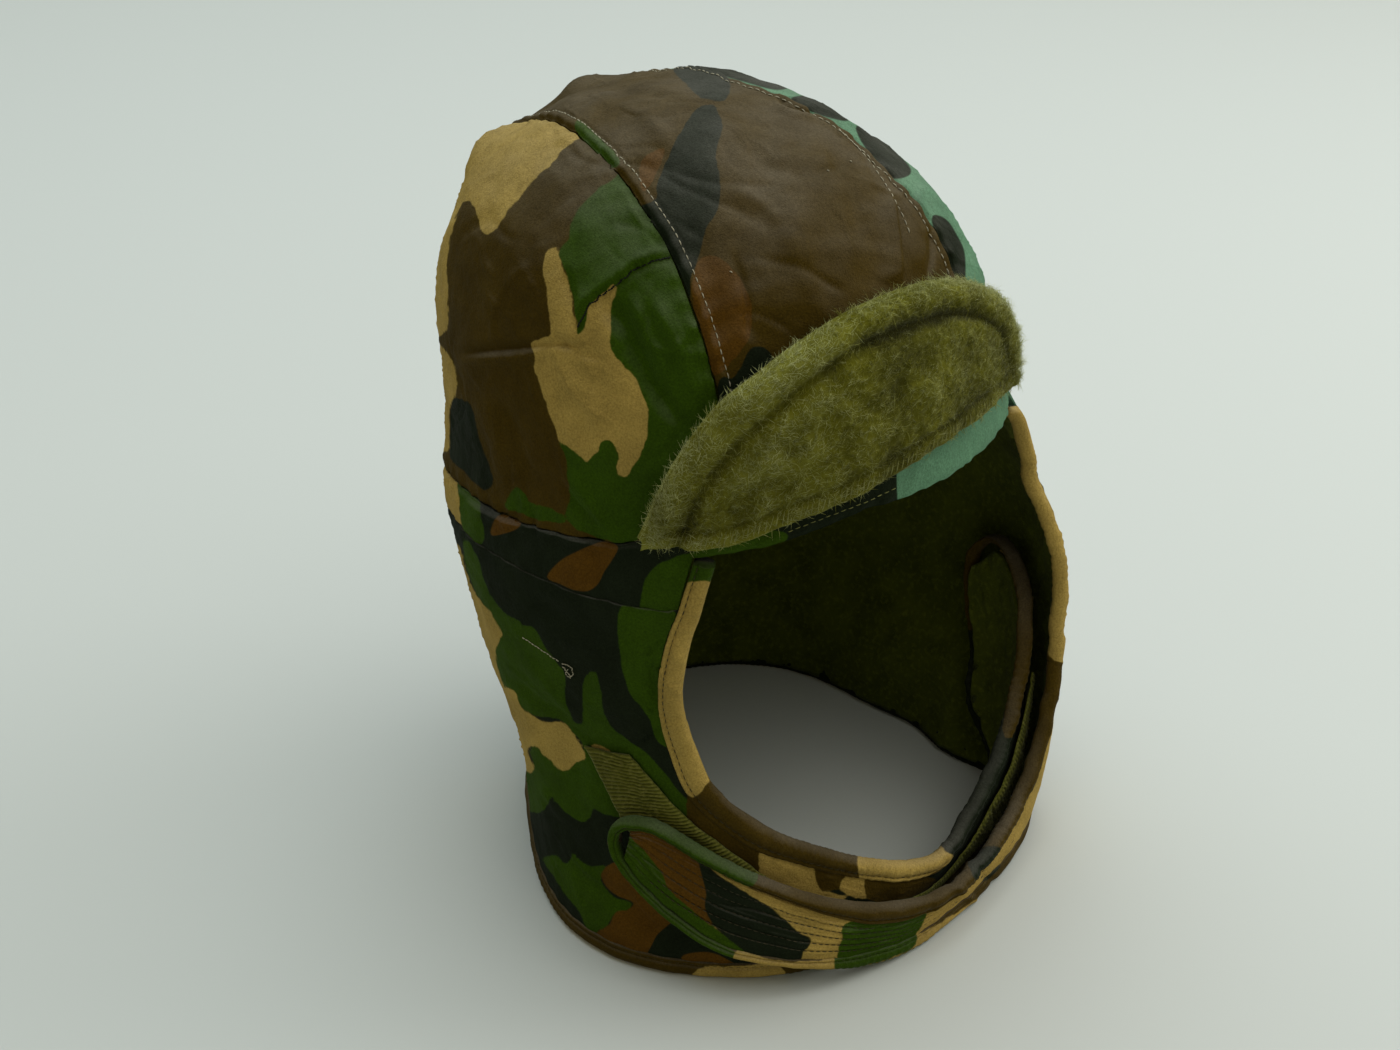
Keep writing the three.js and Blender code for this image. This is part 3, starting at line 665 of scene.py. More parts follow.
# Camouflage, charted over the photograph's frame. A cloth's first word is its ground
# colour. Each patch after it is a colour and an outline, painted over those before it.
# Some patches paint light rather than print: the cool green ones paint the sky's sheen, and some brown
# and black ones on the tapes paint shade
PATCHES = {
    "crown_side_right": """brown
        tan 470,125 500,110 530,112 560,118 572,128 581,137 574,141 562,151 548,168 535,178 520,197
            505,216 497,228 488,235 481,231 478,218 474,206 467,201 460,206 454,222 449,245 447,270
            448,300 446,330 430,330 420,250 435,200 455,155
        tan 430,345 449,356 457,378 455,395 449,415 451,435 446,452 428,440
        green 600,187 612,180 624,172 652,203 680,245 702,310 722,370 730,410 700,440 690,470 660,500
            645,530 628,545 600,538 575,528 565,515 570,500 568,480 566,460 560,443 570,430 580,400
            580,360 578,332 575,315 573,300 569,283 564,268 559,256 562,248 568,240 570,228 574,215
            582,204 591,195
        tan 543,262 547,252 555,247 559,254 562,264 567,277 570,292 573,308 575,322 577,333 583,331
            586,322 587,312 590,305 598,298 606,290 613,284 618,282 616,292 612,305 610,325 611,345
            616,358 624,367 634,376 641,390 647,408 648,424 646,440 640,456 632,468 626,477 619,475
            616,468 619,458 616,447 610,440 602,442 598,451 592,456 587,462 580,457 573,450 562,443
            556,430 550,415 545,400 540,385 535,372 535,358 531,345 536,340 548,336 551,331 549,315
            547,300 546,285 543,272
        green 505,507 511,493 517,488 524,494 531,503 548,508 562,514 567,523 540,520 520,513
        black 452,400 466,401 473,410 477,430 483,450 490,468 493,482 486,490 474,482 462,470 450,457
            450,430""",
    "crown_centre_panel": """brown
        green 574,126 579,120 588,126 600,138 611,149 620,160 617,167 609,167 598,156 586,143 578,134
        black 697,108 706,105 714,106 718,112 722,124 721,136 717,146 716,160 720,175 720,195 718,210
            709,224 703,240 699,255 694,270 690,285 690,305 678,292 665,255 650,225 640,208 650,203
            657,197 657,186 662,172 668,158 674,144 682,130 689,118
        black 668,58 690,55 706,60 724,72 730,84 728,96 722,101 710,100 700,97 692,90 684,83 676,74
        rust 698,262 706,256 718,257 732,268 742,282 750,300 752,320 748,340 738,354 722,372 710,372
            702,345 695,315 692,285
        rust 640,165 655,150 665,150 660,165 650,185 642,190
        black 716,402 717,388 722,377 733,378 742,365 748,352 756,346 766,348 772,356 778,385 740,415""",
    # Painted sheen: this panel's ground is green painted as lit by the sky at a grazing angle
    "crown_side_left": """teal
        black 690,55 730,62 770,76 790,86 775,90 745,82 715,74 700,72
        black 790,98 812,95 826,100 840,110 848,121 830,118 812,112 798,106
        black 856,126 874,130 892,148 910,167 908,176 890,178 876,160 862,143
        black 932,216 946,219 957,235 965,255 963,290 944,290 940,262 936,240""",
    # Painted sheen: the last patch is green painted as lit by the sky at the brow's end
    "headband": """black
        tan 440,452 450,462 457,476 459,500 463,530 469,560 478,588 492,606 470,606 450,560 440,510
        green 458,477 470,486 479,498 481,515 484,538 478,548 474,553 478,570 487,587 502,604 490,606
            477,590 468,560 462,530 459,500
        rust 491,535 494,521 500,515 512,514 521,520 518,528 506,533
        rust 547,577 560,561 576,552 592,545 606,541 618,547 612,560 604,572 598,584 588,591 574,590
            560,584
        green 641,616 642,592 647,576 656,566 668,560 700,550 745,540 775,530 788,536 780,546 760,554
            740,560 718,566 712,584 700,602 680,622 660,620
        teal 900,440 930,430 960,410 985,395 1000,385 1020,390 1022,425 1012,440 990,465 960,484 935,495
            915,505 899,512""",
    "flap_right": """black
        tan 436,540 458,545 464,565 472,588 484,604 497,616 505,624 503,634 498,645 497,660 501,675
            507,688 516,695 520,700 517,712 512,716 495,705 470,650 450,600 436,560
        green 464,538 478,558 484,580 492,598 505,613 522,624 514,630 503,633 490,612 476,592 466,565
        green 503,634 514,629 527,625 537,632 543,645 555,660 565,675 565,695 569,710 575,722 582,724
            583,705 583,686 588,674 594,671 599,680 601,695 604,712 612,727 628,740 645,752 660,767
            675,786 690,803 702,817 690,824 660,822 620,817 600,812 585,800 575,780 585,760 583,745
            570,728 555,718 535,716 520,705 507,690 499,672 496,655 498,643
        tan 496,688 515,692 520,705 530,714 545,722 562,722 572,732 580,745 586,757 576,763 566,771
            556,766 546,757 538,748 529,747 528,754 534,768 529,773 514,765 500,730
        green 505,765 524,770 531,773 535,765 530,752 536,746 546,757 556,766 566,771 577,763 589,760
            598,768 606,786 613,800 622,812 606,812 594,808 590,817 584,822 575,819 566,812 556,802
            551,792 548,804 541,812 532,812 512,802
        tan 591,745 601,746 610,751 617,760 606,757
        green 543,858 556,855 562,862 569,862 573,853 580,860 590,866 607,866 601,880 610,894 620,900
            632,903 627,909 615,912 610,922 600,930 592,933 585,925 578,910 570,900 562,890 553,875
            546,866
        rust 602,872 615,862 632,862 650,880 662,895 678,914 668,925 657,935 650,948 640,962 618,962
            600,950 592,937 610,924 616,912 629,909 633,902 618,896 606,886
        rust 682,956 700,952 716,954 735,964 745,972 725,982 698,980 686,966
        green 619,612 630,602 650,606 676,612 680,640 676,700 680,745 664,746 655,736 651,722 640,706
            630,694 625,680 621,660 618,635
        brown 690,790 720,812 745,832 764,843 762,870 740,864 715,848 690,830
        tan 762,845 785,852 800,858 816,864 816,878 822,890 846,897 830,901 800,893 775,883 760,871
        brown 815,862 835,868 846,878 840,888 822,891 816,880
        tan 846,877 858,874 866,884 869,897 855,898 840,889
        brown 868,874 890,876 915,876 938,882 902,902 868,899""",
    "flap_left": """tan
        rust 622,822 645,826 662,832 690,848 703,863 705,880 708,900 712,926 690,916 665,892 640,862
            628,840
        green 624,834 636,842 650,858 661,872 668,888 682,902 697,914 712,926 732,938 754,955 746,970
            718,970 690,952 662,926 640,900 622,875 608,848
        black 699,860 715,872 735,886 755,898 775,911 790,925 800,933 810,938 809,946 803,953 801,960
            796,968 786,971 772,967 757,959 742,949 727,938 713,924 705,908 706,893 703,880
        green 843,926 855,920 880,917 905,913 928,904 927,914 922,925 915,935 910,944 895,952 870,962
            840,972 837,955 842,940""",
    # Painted shade: the first black patch darkens the tape where it runs inside the back, in shadow
    "edge_binding_left": """brown
        black 560,560 900,560 1010,700 1000,800 900,790 700,700 560,700
        green 600,825 610,812 625,808 645,812 680,828 715,846 738,856 757,868 755,883 740,888 720,878
            690,862 660,843 640,834 630,834 634,846 647,866 667,891 692,916 716,939 736,952 744,964
            730,966 703,954 678,934 648,904 622,874 606,850
        tan 738,950 760,956 790,962 832,962 832,990 780,990 750,976 734,964
        tan 995,385 1035,400 1060,480 1080,560 1082,656 1048,654 1044,600 1038,540 1018,470 995,420
        black 968,860 988,846 1004,852 996,872 978,882
        tan 948,918 978,898 1014,866 1050,815 1080,830 1040,905 975,965 905,995 826,1004 826,950 860,950
            915,935
        green 836,945 860,944 895,938 915,932 912,948 880,962 850,970 836,974""",
    # Painted shade: the brown and black patches over the right strap's tip inside the far flap, and the
    # wide black patch over the tape inside the back, darken it where it lies in shadow
    "edge_binding_right": """brown
        green 690,545 730,545 724,587 684,587
        tan 680,586 724,588 716,640 708,700 712,750 716,768 702,790 690,797 676,780 660,750 648,700
            655,640
        tan 861,850 900,852 930,846 945,838 964,840 958,856 942,868 915,882 880,888 861,880
        black 940,844 950,824 965,806 980,785 992,760 996,735 1030,731 1022,765 1002,812 982,842 962,858
        brown 940,500 1060,500 1060,660 1036,700 1030,731 996,735 975,700 955,600
        black 950,640 990,640 1004,720 985,740 960,720
        black 730,640 900,640 1000,720 1000,830 960,835 900,800 800,730 740,700
        brown 530,850 548,862 556,885 575,915 600,938 640,958 640,975 600,960 560,930 538,895
        tan 698,968 740,966 780,966 780,994 698,994""",
    "visor_shell": "green",
}
PX_PER_MM = 2.83
# Unseen sides have tan ground and these colours: field over space, how far it is raised
CAMO_NOISE = {
    "green": (waves(21, 30, 60, 130, (1.5, 1.5, 0.75)), 0.25),
    "brown": (waves(22, 30, 60, 130, (1.5, 1.5, 0.75)), -0.25),
    "black": (waves(23, 30, 50, 100, (1.6, 1.6, 0.7)), -0.75),
}
NOISE_TO_MM, FACING_TO_MM = 16.0, 100.0
# How far past its own horizon the chart holds, by the form and by a mesh's own normals
SEEN_PAST, SEEN_PAST_NORMAL, SEEN_WOBBLE = 0.25, 0.03, 3.0
# Depth in millimetres of ground colour, and distance in pixels past which none is measured
DEEP, FAR = 20.0, 60.0


def patches_of(text):
    """A cloth's ground colour, and its patches as colour and outline."""
    ground, *words = text.split()
    patches = []
    for word in words:
        if word in COLOURS:
            patches.append((word, []))
        else:
            patches[-1][1].append([float(v) for v in word.split(",")])
    return ground, [(colour, np.array(outline)) for colour, outline in patches]


def rounded(outline, parts=4):
    """A closed smooth curve through an outline's corners."""
    p0, p1 = np.roll(outline, 1, 0), outline
    p2, p3 = np.roll(outline, -1, 0), np.roll(outline, -2, 0)
    out = []
    for k in range(parts):
        t = k / parts
        out.append(0.5 * (2 * p1 + (p2 - p0) * t + (2 * p0 - 5 * p1 + 4 * p2 - p3) * t * t
                          + (3 * p1 - p0 - 3 * p2 + p3) * t ** 3))
    return np.stack(out, 1).reshape(-1, 2)


def signed_distance(pixels, outline):
    """Distance in pixels to a closed outline, plus inside it."""
    low, high = outline.min(0) - FAR, outline.max(0) + FAR
    near = np.all((pixels > low) & (pixels < high), axis=1)
    out = np.full(len(pixels), -FAR)
    p = pixels[near]
    best = np.full(len(p), FAR)
    odd = np.zeros(len(p), bool)
    for s, e in zip(outline, np.roll(outline, -1, 0)):
        d = e - s
        t = np.clip(((p - s) @ d) / (d @ d + 1e-12), 0, 1)
        best = np.minimum(best, np.linalg.norm(p - s - t[:, None] * d, axis=1))
        if s[1] != e[1]:
            crosses = (s[1] > p[:, 1]) != (e[1] > p[:, 1])
            odd ^= crosses & (p[:, 0] < (e[0] - s[0]) * (p[:, 1] - s[1]) / (e[1] - s[1]) + s[0])
    out[near] = np.where(odd, best, -best)
    return out


def paint(fields, colour, s):
    for c in COLOURS:
        fields[c] = np.maximum(fields[c], s) if c == colour else np.minimum(fields[c], -s)


def read(obj, key):
    """Three numbers for every vertex, such as its place."""
    values = np.empty(len(obj.data.vertices) * 3)
    obj.data.vertices.foreach_get(key, values)
    return values.reshape(-1, 3)


def store(obj, name, values):
    """Stores a number for every vertex, for a material to read."""
    attribute = obj.data.attributes.new(name, "FLOAT", "POINT")
    attribute.data.foreach_set("value", values.astype(np.float32))


def camouflage(obj, chart_name, by_normal=False):
    """Stores how far inside each colour's patches every vertex lies, in millimetres."""
    points = read(obj, "co") / MM - SHIFT
    if by_normal:
        turned_to = (read(obj, "normal") * to_eye(points)).sum(1)
        seen = FACING_TO_MM * (turned_to + SEEN_PAST_NORMAL)
    else:
        seen = FACING_TO_MM * (facing(points) + SEEN_PAST) + SEEN_WOBBLE * RIPPLES(points)
    ground, patches = patches_of(PATCHES[chart_name])
    charted, guessed = (
        {c: np.full(len(points), DEEP if c == base else -DEEP) for c in COLOURS}
        for base in (ground, "tan"))
    pixels = chart(points)
    for colour, outline in patches:
        paint(charted, colour, signed_distance(pixels, rounded(outline)) / PX_PER_MM)
    for colour, (field, raised) in CAMO_NOISE.items():
        paint(guessed, colour, NOISE_TO_MM * (field(points) + raised))
    for c in COLOURS:
        mixed = np.maximum(np.minimum(charted[c], seen), np.minimum(guessed[c], -seen))
        store(obj, "in_" + c, mixed)


# Materials
def node(tree, kind, **values):
    made = tree.nodes.new(kind)
    for key, value in values.items():
        if key in made.inputs:
            made.inputs[key].default_value = value
        else:
            setattr(made, key, value)
    return made


def put(tree, socket, value):
    """Gives a socket a number, a colour or another node's output."""
    if isinstance(value, (int, float)):
        socket.default_value = value
    elif isinstance(value, tuple):
        socket.default_value = (*value, 1.0) if socket.type == "RGBA" else value
    else:
        tree.links.new(value, socket)


def material(name, rough=0.9, sheen=0.0, sheen_rough=0.5, sheen_tint=(1, 1, 1)):
    mat = bpy.data.materials.new(name)
    mat.use_nodes = True
    tree = mat.node_tree
    shader = tree.nodes["Principled BSDF"]
    for key, value in (("Roughness", rough), ("Specular IOR Level", 0.25), ("Sheen Weight", sheen),
                       ("Sheen Roughness", sheen_rough), ("Sheen Tint", sheen_tint)):
        put(tree, shader.inputs[key], value)
    return mat, tree, shader


def object_space(tree):
    return node(tree, "ShaderNodeTexCoord").outputs["Object"]


def attribute(tree, name):
    return node(tree, "ShaderNodeAttribute", attribute_name=name).outputs["Fac"]


def noise(tree, where, scale, detail=3.0, rough=0.55, output="Fac"):
    made = node(tree, "ShaderNodeTexNoise", Scale=scale, Detail=detail, Roughness=rough)
    tree.links.new(where, made.inputs["Vector"])
    return made.outputs[output]


def math_node(tree, operation, *values):
    made = node(tree, "ShaderNodeMath", operation=operation)
    for socket, value in zip(made.inputs, values):
        put(tree, socket, value)
    return made.outputs[0]


def vector_node(tree, operation, vector, other):
    """Scales a vector by a number or adds another vector to it."""
    made = node(tree, "ShaderNodeVectorMath", operation=operation)
    put(tree, made.inputs[0], vector)
    put(tree, made.inputs["Scale"] if operation == "SCALE" else made.inputs[1], other)
    return made.outputs[0]


def mix(tree, share, a, b, kind="MIX"):
    made = node(tree, "ShaderNodeMix", data_type="RGBA", blend_type=kind)
    for socket, value in zip([s for s in made.inputs if s.enabled], (share, a, b)):
        put(tree, socket, value)
    return [o for o in made.outputs if o.enabled][0]


def ramp(tree, value, *ends):
    """Maps a number from one range to another, or to 0 to 1 where no other is given."""
    made = node(tree, "ShaderNodeMapRange")
    keys = ("Value", "From Min", "From Max", "To Min", "To Max")
    for key, setting in zip(keys, (value, *ends)):
        put(tree, made.inputs[key], setting)
    return made.outputs["Result"]


def bump(tree, shader, height):
    made = node(tree, "ShaderNodeBump", Strength=0.6, Distance=0.0005)
    tree.links.new(height, made.inputs["Height"])
    tree.links.new(made.outputs["Normal"], shader.inputs["Normal"])


# The last colour is the green print with a painted cool sheen, for parts lit by the sky at a grazing
# angle
CAMO_COLOURS = {
    "tan": (0.330, 0.226, 0.056),
    "green": (0.026, 0.056, 0.001),
    "brown": (0.048, 0.029, 0.002),
    "black": (0.008, 0.012, 0.005),
    "rust": (0.082, 0.037, 0.003),
    "teal": (0.095, 0.200, 0.116),
}
# Grey that the cloth fades to at random, and that paints the sky's sheen on faces turned up
FADE_AND_SHEEN = (0.32, 0.30, 0.27)
# Noise scales, in waves to the metre
CLOTH_NOISE = dict(wobble=240, fade=38, grain=1500, blotch=70, weave=2200, creases=150)
PILE_NOISE = dict(tufts=520, patches=75, fuzz=1600)
# How deep in millimetres a patch counts, and how sharp its border is
DEEPEST, BORDER = 4.0, 6.0


def camo_material(name, sheen=0.012):
    """Cloth printed in patches: at each point the colour that it lies deepest in wins."""
    mat, tree, shader = material(name, 0.88, sheen, 0.4, (0.95, 0.95, 0.85))
    shader.inputs["Specular IOR Level"].default_value = 0.03
    where = object_space(tree)
    wobble = node(tree, "ShaderNodeSeparateColor")
    put(tree, wobble.inputs["Color"], noise(tree, where, CLOTH_NOISE["wobble"], 2.0, 0.5, "Color"))
    total, weights = None, None
    for i, c in enumerate(COLOURS):
        field = attribute(tree, "in_" + c)
        if i < 3:
            shift = ramp(tree, wobble.outputs[i], 0.2, 0.8, -0.8, 0.8)
            field = math_node(tree, "ADD", field, shift)
        field = math_node(tree, "MINIMUM", field, DEEPEST)
        field = math_node(tree, "MAXIMUM", field, -DEEPEST)
        weight = math_node(tree, "EXPONENT", math_node(tree, "MULTIPLY", field, BORDER))
        part = vector_node(tree, "SCALE", CAMO_COLOURS[c], weight)
        total = vector_node(tree, "ADD", total, part) if i else part
        weights = math_node(tree, "ADD", weights, weight) if i else weight
    colour = vector_node(tree, "SCALE", total, math_node(tree, "DIVIDE", 1.0, weights))
    # Painted sheen: faces turned up are mixed towards grey as if lit by the sky, and the noise makes
    # this fading uneven
    upward = node(tree, "ShaderNodeSeparateXYZ")
    tree.links.new(node(tree, "ShaderNodeNewGeometry").outputs["Normal"], upward.inputs[0])
    upward_sheen = ramp(tree, upward.outputs["Z"], 0.40, 0.90, 0.05, 1.0)
    fade = ramp(tree, noise(tree, where, CLOTH_NOISE["fade"], 4), 0.35, 0.8, 0.08, 0.20)
    colour = mix(tree, math_node(tree, "MULTIPLY", fade, upward_sheen), colour, FADE_AND_SHEEN)
    grain = ramp(tree, noise(tree, where, CLOTH_NOISE["grain"], 2), 0.3, 0.7, 0.80, 1.20)
    blotch = ramp(tree, noise(tree, where, CLOTH_NOISE["blotch"], 3), 0.3, 0.7, 0.86, 1.14)
    shade = node(tree, "ShaderNodeCombineColor")
    for socket in shade.inputs[:3]:
        tree.links.new(math_node(tree, "MULTIPLY", grain, blotch), socket)
    colour = mix(tree, 1.0, colour, shade.outputs["Color"], "MULTIPLY")
    tree.links.new(colour, shader.inputs["Base Color"])
    weave = noise(tree, where, CLOTH_NOISE["weave"], 1.0)
    crumpled = math_node(tree, "MULTIPLY", noise(tree, where, CLOTH_NOISE["creases"], 5, 0.6), 4.0)
    bump(tree, shader, math_node(tree, "ADD", weave, crumpled))
    return mat


def pile_material(name, dark, light, tip, sheen):
    """Pile with darker and lighter patches. A stored field makes it paler or darker still, as painted
    highlight and painted shade.
    """
    mat, tree, shader = material(name, 1.0, sheen, 0.35, (0.85, 0.9, 0.6))
    where = object_space(tree)
    tufts = noise(tree, where, PILE_NOISE["tufts"], 3, 0.6)
    patches = noise(tree, where, PILE_NOISE["patches"], 3, 0.6)
    pale = attribute(tree, "pale")
    colour = mix(tree, ramp(tree, patches, 0.32, 0.68), dark, light)
    colour = mix(tree, ramp(tree, tufts, 0.5, 0.75, 0, 0.8), colour, tip)
    # Painted light: a plus stored field mixes towards the tip colour as highlight, a minus one towards
    # near black as shade
    colour = mix(tree, ramp(tree, pale, 0, 1, 0, 0.8), colour, tip)
    colour = mix(tree, ramp(tree, pale, -1, 0, 0.8, 0), colour, tuple(0.15 * c for c in dark))
    tree.links.new(colour, shader.inputs["Base Color"])
    bump(tree, shader, math_node(tree, "ADD", tufts, noise(tree, where, PILE_NOISE["fuzz"], 3, 0.7)))
    return mat


def thread_material(name, colour):
    mat, tree, shader = material(name, 0.7)
    twist = ramp(tree, noise(tree, object_space(tree), 900, 1), 0.3, 0.7)
    shade = mix(tree, twist, colour, tuple(0.6 * c for c in colour))
    tree.links.new(shade, shader.inputs["Base Color"])
    return mat


cloth_mat = camo_material("camouflage cloth")
tape_mat = camo_material("folded edge tape", 0.05)
# Piles: darker and lighter colour, colour of the tips, sheen
lining_mat, visor_mat, fibre_mat, loop_mat, hook_mat = (pile_material(*row) for row in (
    # The lining is a dark olive pile, made darker still as painted shade for the inside of the cap
    ("dark pile lining", (0.040, 0.050, 0.002), (0.072, 0.088, 0.004), (0.12, 0.14, 0.012), 0.03),
    ("visor pile", (0.070, 0.067, 0.001), (0.122, 0.118, 0.003), (0.20, 0.20, 0.03), 0.12),
    ("visor pile fibres", (0.125, 0.122, 0.003), (0.22, 0.215, 0.012), (0.50, 0.52, 0.24), 0.15),
    ("loop tape", (0.060, 0.064, 0.004), (0.098, 0.10, 0.008), (0.19, 0.18, 0.04), 0.1),
    ("hook tape", (0.02, 0.022, 0.008), (0.04, 0.045, 0.02), (0.07, 0.07, 0.03), 0.1),
))
dark_thread, pale_thread, shadow_thread, olive_thread = (thread_material(*row) for row in (
    ("dark thread", (0.05, 0.042, 0.018)),
    ("pale thread", (0.42, 0.38, 0.27)),
    ("fold shadow", (0.006, 0.008, 0.003)),
    ("pale olive thread", (0.26, 0.26, 0.08)),
))


def done(obj, slot_name, *nodes):
    """A piece rides on the cap and may stand for solids. Its slot name is not used."""
    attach(obj, "root")
    if nodes:
        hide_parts(*nodes)


def cloth(node_name, outer, inner, ring=False):
    """A camouflage panel that stands for a solid."""
    panel = sheet(node_name + "_cloth", outer, inner, cloth_mat, ring)
    camouflage(panel, node_name)
    done(panel, "camouflage_cloth", node_name)


def lining(node_name, inner, outer, ring=False):
    """A pile lining that stands for a solid. Its pile side comes first, as it shows."""
    pile = sheet(node_name + "_pile", inner, outer, lining_mat, ring)
    done(pile, "pile_lining", node_name)


def seam_dip(away, deep=0.9, wide=1.3):
    """Cloth turns under at a seam: a dip over the distance from it."""
    return -deep * bell(away, wide)


def pucker(s, away, length=8.5, high=0.35, wide=5.0):
    """Small waves along a seam that die out with the distance from it."""
    return high * np.sin(2 * math.pi * s / length + 0.8 * np.sin(s / 13)) * bell(away, wide)


# Crown. Its top stitching makes a groove, and the seam allowance stands up beside it
TOP_STITCHING, ALLOWANCE = 5.0, 2.6
DART_DEPTH, DART_WIDTH = 0.5, 4


def crown_centre():
    """The panel that goes over the top, from the headband in front to the headband behind."""
    shares = edged(130)

    def x_at(turn, share=shares):
        return (right_seam(turn) + GAP / 2) * (1 - share) + (left_seam(turn) - GAP / 2) * share
    front, back = base_turns(x_at)
    turn = front[:, None] + (back - front)[:, None] * edged(260)
    outer = crown_point(turn, x_at(turn, shares[:, None]))
    across, over = lengths(outer, 0), lengths(outer, 1)
    rim = np.minimum(across, across[-1:] - across)
    ends = np.minimum(over, over[:, -1:] - over)
    rise = seam_dip(rim) + seam_dip(ends, 0.7) + pucker(over, rim) + pucker(across, ends, 9, 0.3)
    rise += 0.45 * bell(rim - ALLOWANCE, 1.6) - 0.35 * bell(rim - TOP_STITCHING, 0.8)
    inner = outer + unit(HEART - outer) * CLOTH
    return outer + outward(outer) * rise[..., None], inner


def crown_side(seam, towards):
    """A side panel, from the headband up to a seam of the crown."""
    def edge(turn):
        return seam(turn) + towards * GAP / 2
    front, back = base_turns(lambda turn: edge(turn) + np.zeros(1))
    turns = np.concatenate([front, back])
    start_at, end_at = angle_of(crown_point(turns, edge(turns), folds=False))
    along = edged(220)
    at = start_at + (end_at - start_at) * along
    turn = front + (back - front) * along
    low = unit(wall(at, band_high(at) + CROWN_GAP, folds=False) - HEART)
    high = unit(crown_point(turn, edge(turn), folds=False) - HEART)
    direction = unit(between(low, high, edged(120)))
    outer = skin(HEART, direction)
    inner = outer - direction * CLOTH
    up, run = lengths(outer, 1), lengths(outer, 0)
    above = up[:, -1:] - up
    rise = seam_dip(up, 0.7) + seam_dip(above) + pucker(run, above) + pucker(run, up, 9, 0.35)
    away, _, _ = way_to(chart(outer), path_of(DART))
    seen = DART_DEPTH * (facing(outer) > 0.1)
    rise -= seen * bell(away, DART_WIDTH)
    rise += seen * bell(away - 7, DART_WIDTH)
    return outer + outward(outer) * rise[..., None], inner


centre_grid, centre_inner = crown_centre()
cloth("crown_centre_panel", centre_grid, centre_inner)
side_grids = {}
for side, seam, towards in (("right", right_seam, -1), ("left", left_seam, 1)):
    side_grids[side], side_inner = crown_side(seam, towards)
    cloth("crown_side_" + side, side_grids[side], side_inner)


# Headband
def band_steps(step):
    out = []
    for a, b in zip(BAND_ANGLES[:-1], BAND_ANGLES[1:]):
        out += list(np.linspace(a, b, 2 * max(1, round((b - a) / step / 2)), endpoint=False))
    return np.array(out)


def headband():
    at = band_steps(1.0)
    shares = edged(24, 0.3)
    height = band_low(at)[:, None] * (1 - shares) + band_high(at)[:, None] * shares
    outer = wall(at[:, None], height)
    inner = wall(at[:, None], height, depth=CLOTH)
    up, run = lengths(outer, 1), lengths(outer, 0)
    above = up[:, -1:] - up
    rise = seam_dip(up, 0.6) + seam_dip(above, 0.9)
    rise += pucker(run, above, 9, 0.3) + pucker(run, up, 10, 0.2)
    return outer + outward(outer, True) * rise[..., None], inner


band_grid, band_inner = headband()
cloth("headband", band_grid, band_inner, ring=True)

# Unevenness of the linings' pile, and its height
tufts, TUFT = waves(31, 40, 5, 12), 0.35


def crown_lining():
    at = band_steps(2.0)
    low = unit(wall(at, band_low(at) + GAP, folds=False) - HEART)
    direction = between(low, np.array((0.0, 0.0, 1.0)), np.linspace(0, 1, 45))
    outer = skin(HEART, direction, CROWN_LINING_DEPTH)
    return outer - direction * (LINING + TUFT * tufts(outer))[..., None], outer


lining("crown_lining", *crown_lining(), ring=True)

# Flaps, their linings and the folded tape along their edges. The cloth goes on under the
# tape, further where the tape is slim
UNDER_TAPE, UNDER_SLIM = 1.6, 5.6
THIN_LINING, LINING_UNDER = 2.2, 1.5
# The lining laps over the tape's inner side along the hem, by a width and a height
LAP_WIDE, LAP_HIGH = 4.5, 1.0
# The linings overlap at the back, a little past the seam of the flaps
LINING_SEAM = 180.3
BINDING_DEPTH = CLOTH + GAP + LINING
# Section of the tape: distance out from the flap's edge, depth below the skin
BINDING_SECTION = (
    (0.3, 0.35), (0.5, -0.2), (1.0, -0.45), (1.5, -0.4), (1.95, 0.25), (2.4, -0.35),
    (3.2, -0.85), (4.2, -1.05), (5.3, -0.9), (6.4, -0.25), (7.1, 0.8), (7.3, 2.0), (7.1, 3.2),
    (6.4, 4.1), (5.3, 4.7), (4.2, 4.85), (3.2, 4.7), (1.95, 4.2), (1.0, 4.3), (0.3, 4.0),
)
THREAD_ACROSS = 1.95
THREAD_OUTSIDE, THREAD_INSIDE = (
    i for i, (across, depth) in enumerate(BINDING_SECTION) if across == THREAD_ACROSS)
TAPE_STEP, ROUNDINGS = 0.8, 9
# On the right flap's face edge the tape is wider and stands further out
FACE_EDGE = dict(before=95, stretch=45, wider=0.42, out=1.5)
# Shares of the left strap's width at which rows of stitches run along it
STRAP_ROWS = (0.2, 0.35, 0.5, 0.65, 0.8)
FLAP_LINES = 110


def slimness(at, sign, upper):
    """How much of its width the tape loses at each angle; upper is 1 on the face edge."""
    if sign > 0:
        return 0.25 * smooth(at, 15, 40) + 0.37 * smooth(at, 40, 60)
    return 0.5 * smooth(-at, 12, 36) + 0.28 * upper * smooth(at, 25, 48)


def edge_path(columns, brow_end, seam_columns):
    """The flap's free edge: along the hem from the back, round the tip, up the face edge."""
    low, top = columns[:, :2], columns[seam_columns:, 2:][::-1]
    path = np.concatenate([low, top, [brow_end]]) * (ARC_PER_DEGREE, 1)
    s = lengths(path, 0)
    keep = np.concatenate([[True], np.diff(s) > 1e-6])
    path, s = path[keep], s[keep]
    even = np.linspace(0, s[-1], int(s[-1] / TAPE_STEP))
    path = np.stack([np.interp(even, s, path[:, k]) for k in (0, 1)], 1)
    for _ in range(ROUNDINGS):
        rounder = path.copy()
        rounder[1:-1] = 0.25 * path[:-2] + 0.5 * path[1:-1] + 0.25 * path[2:]
        path = rounder
    return path, even


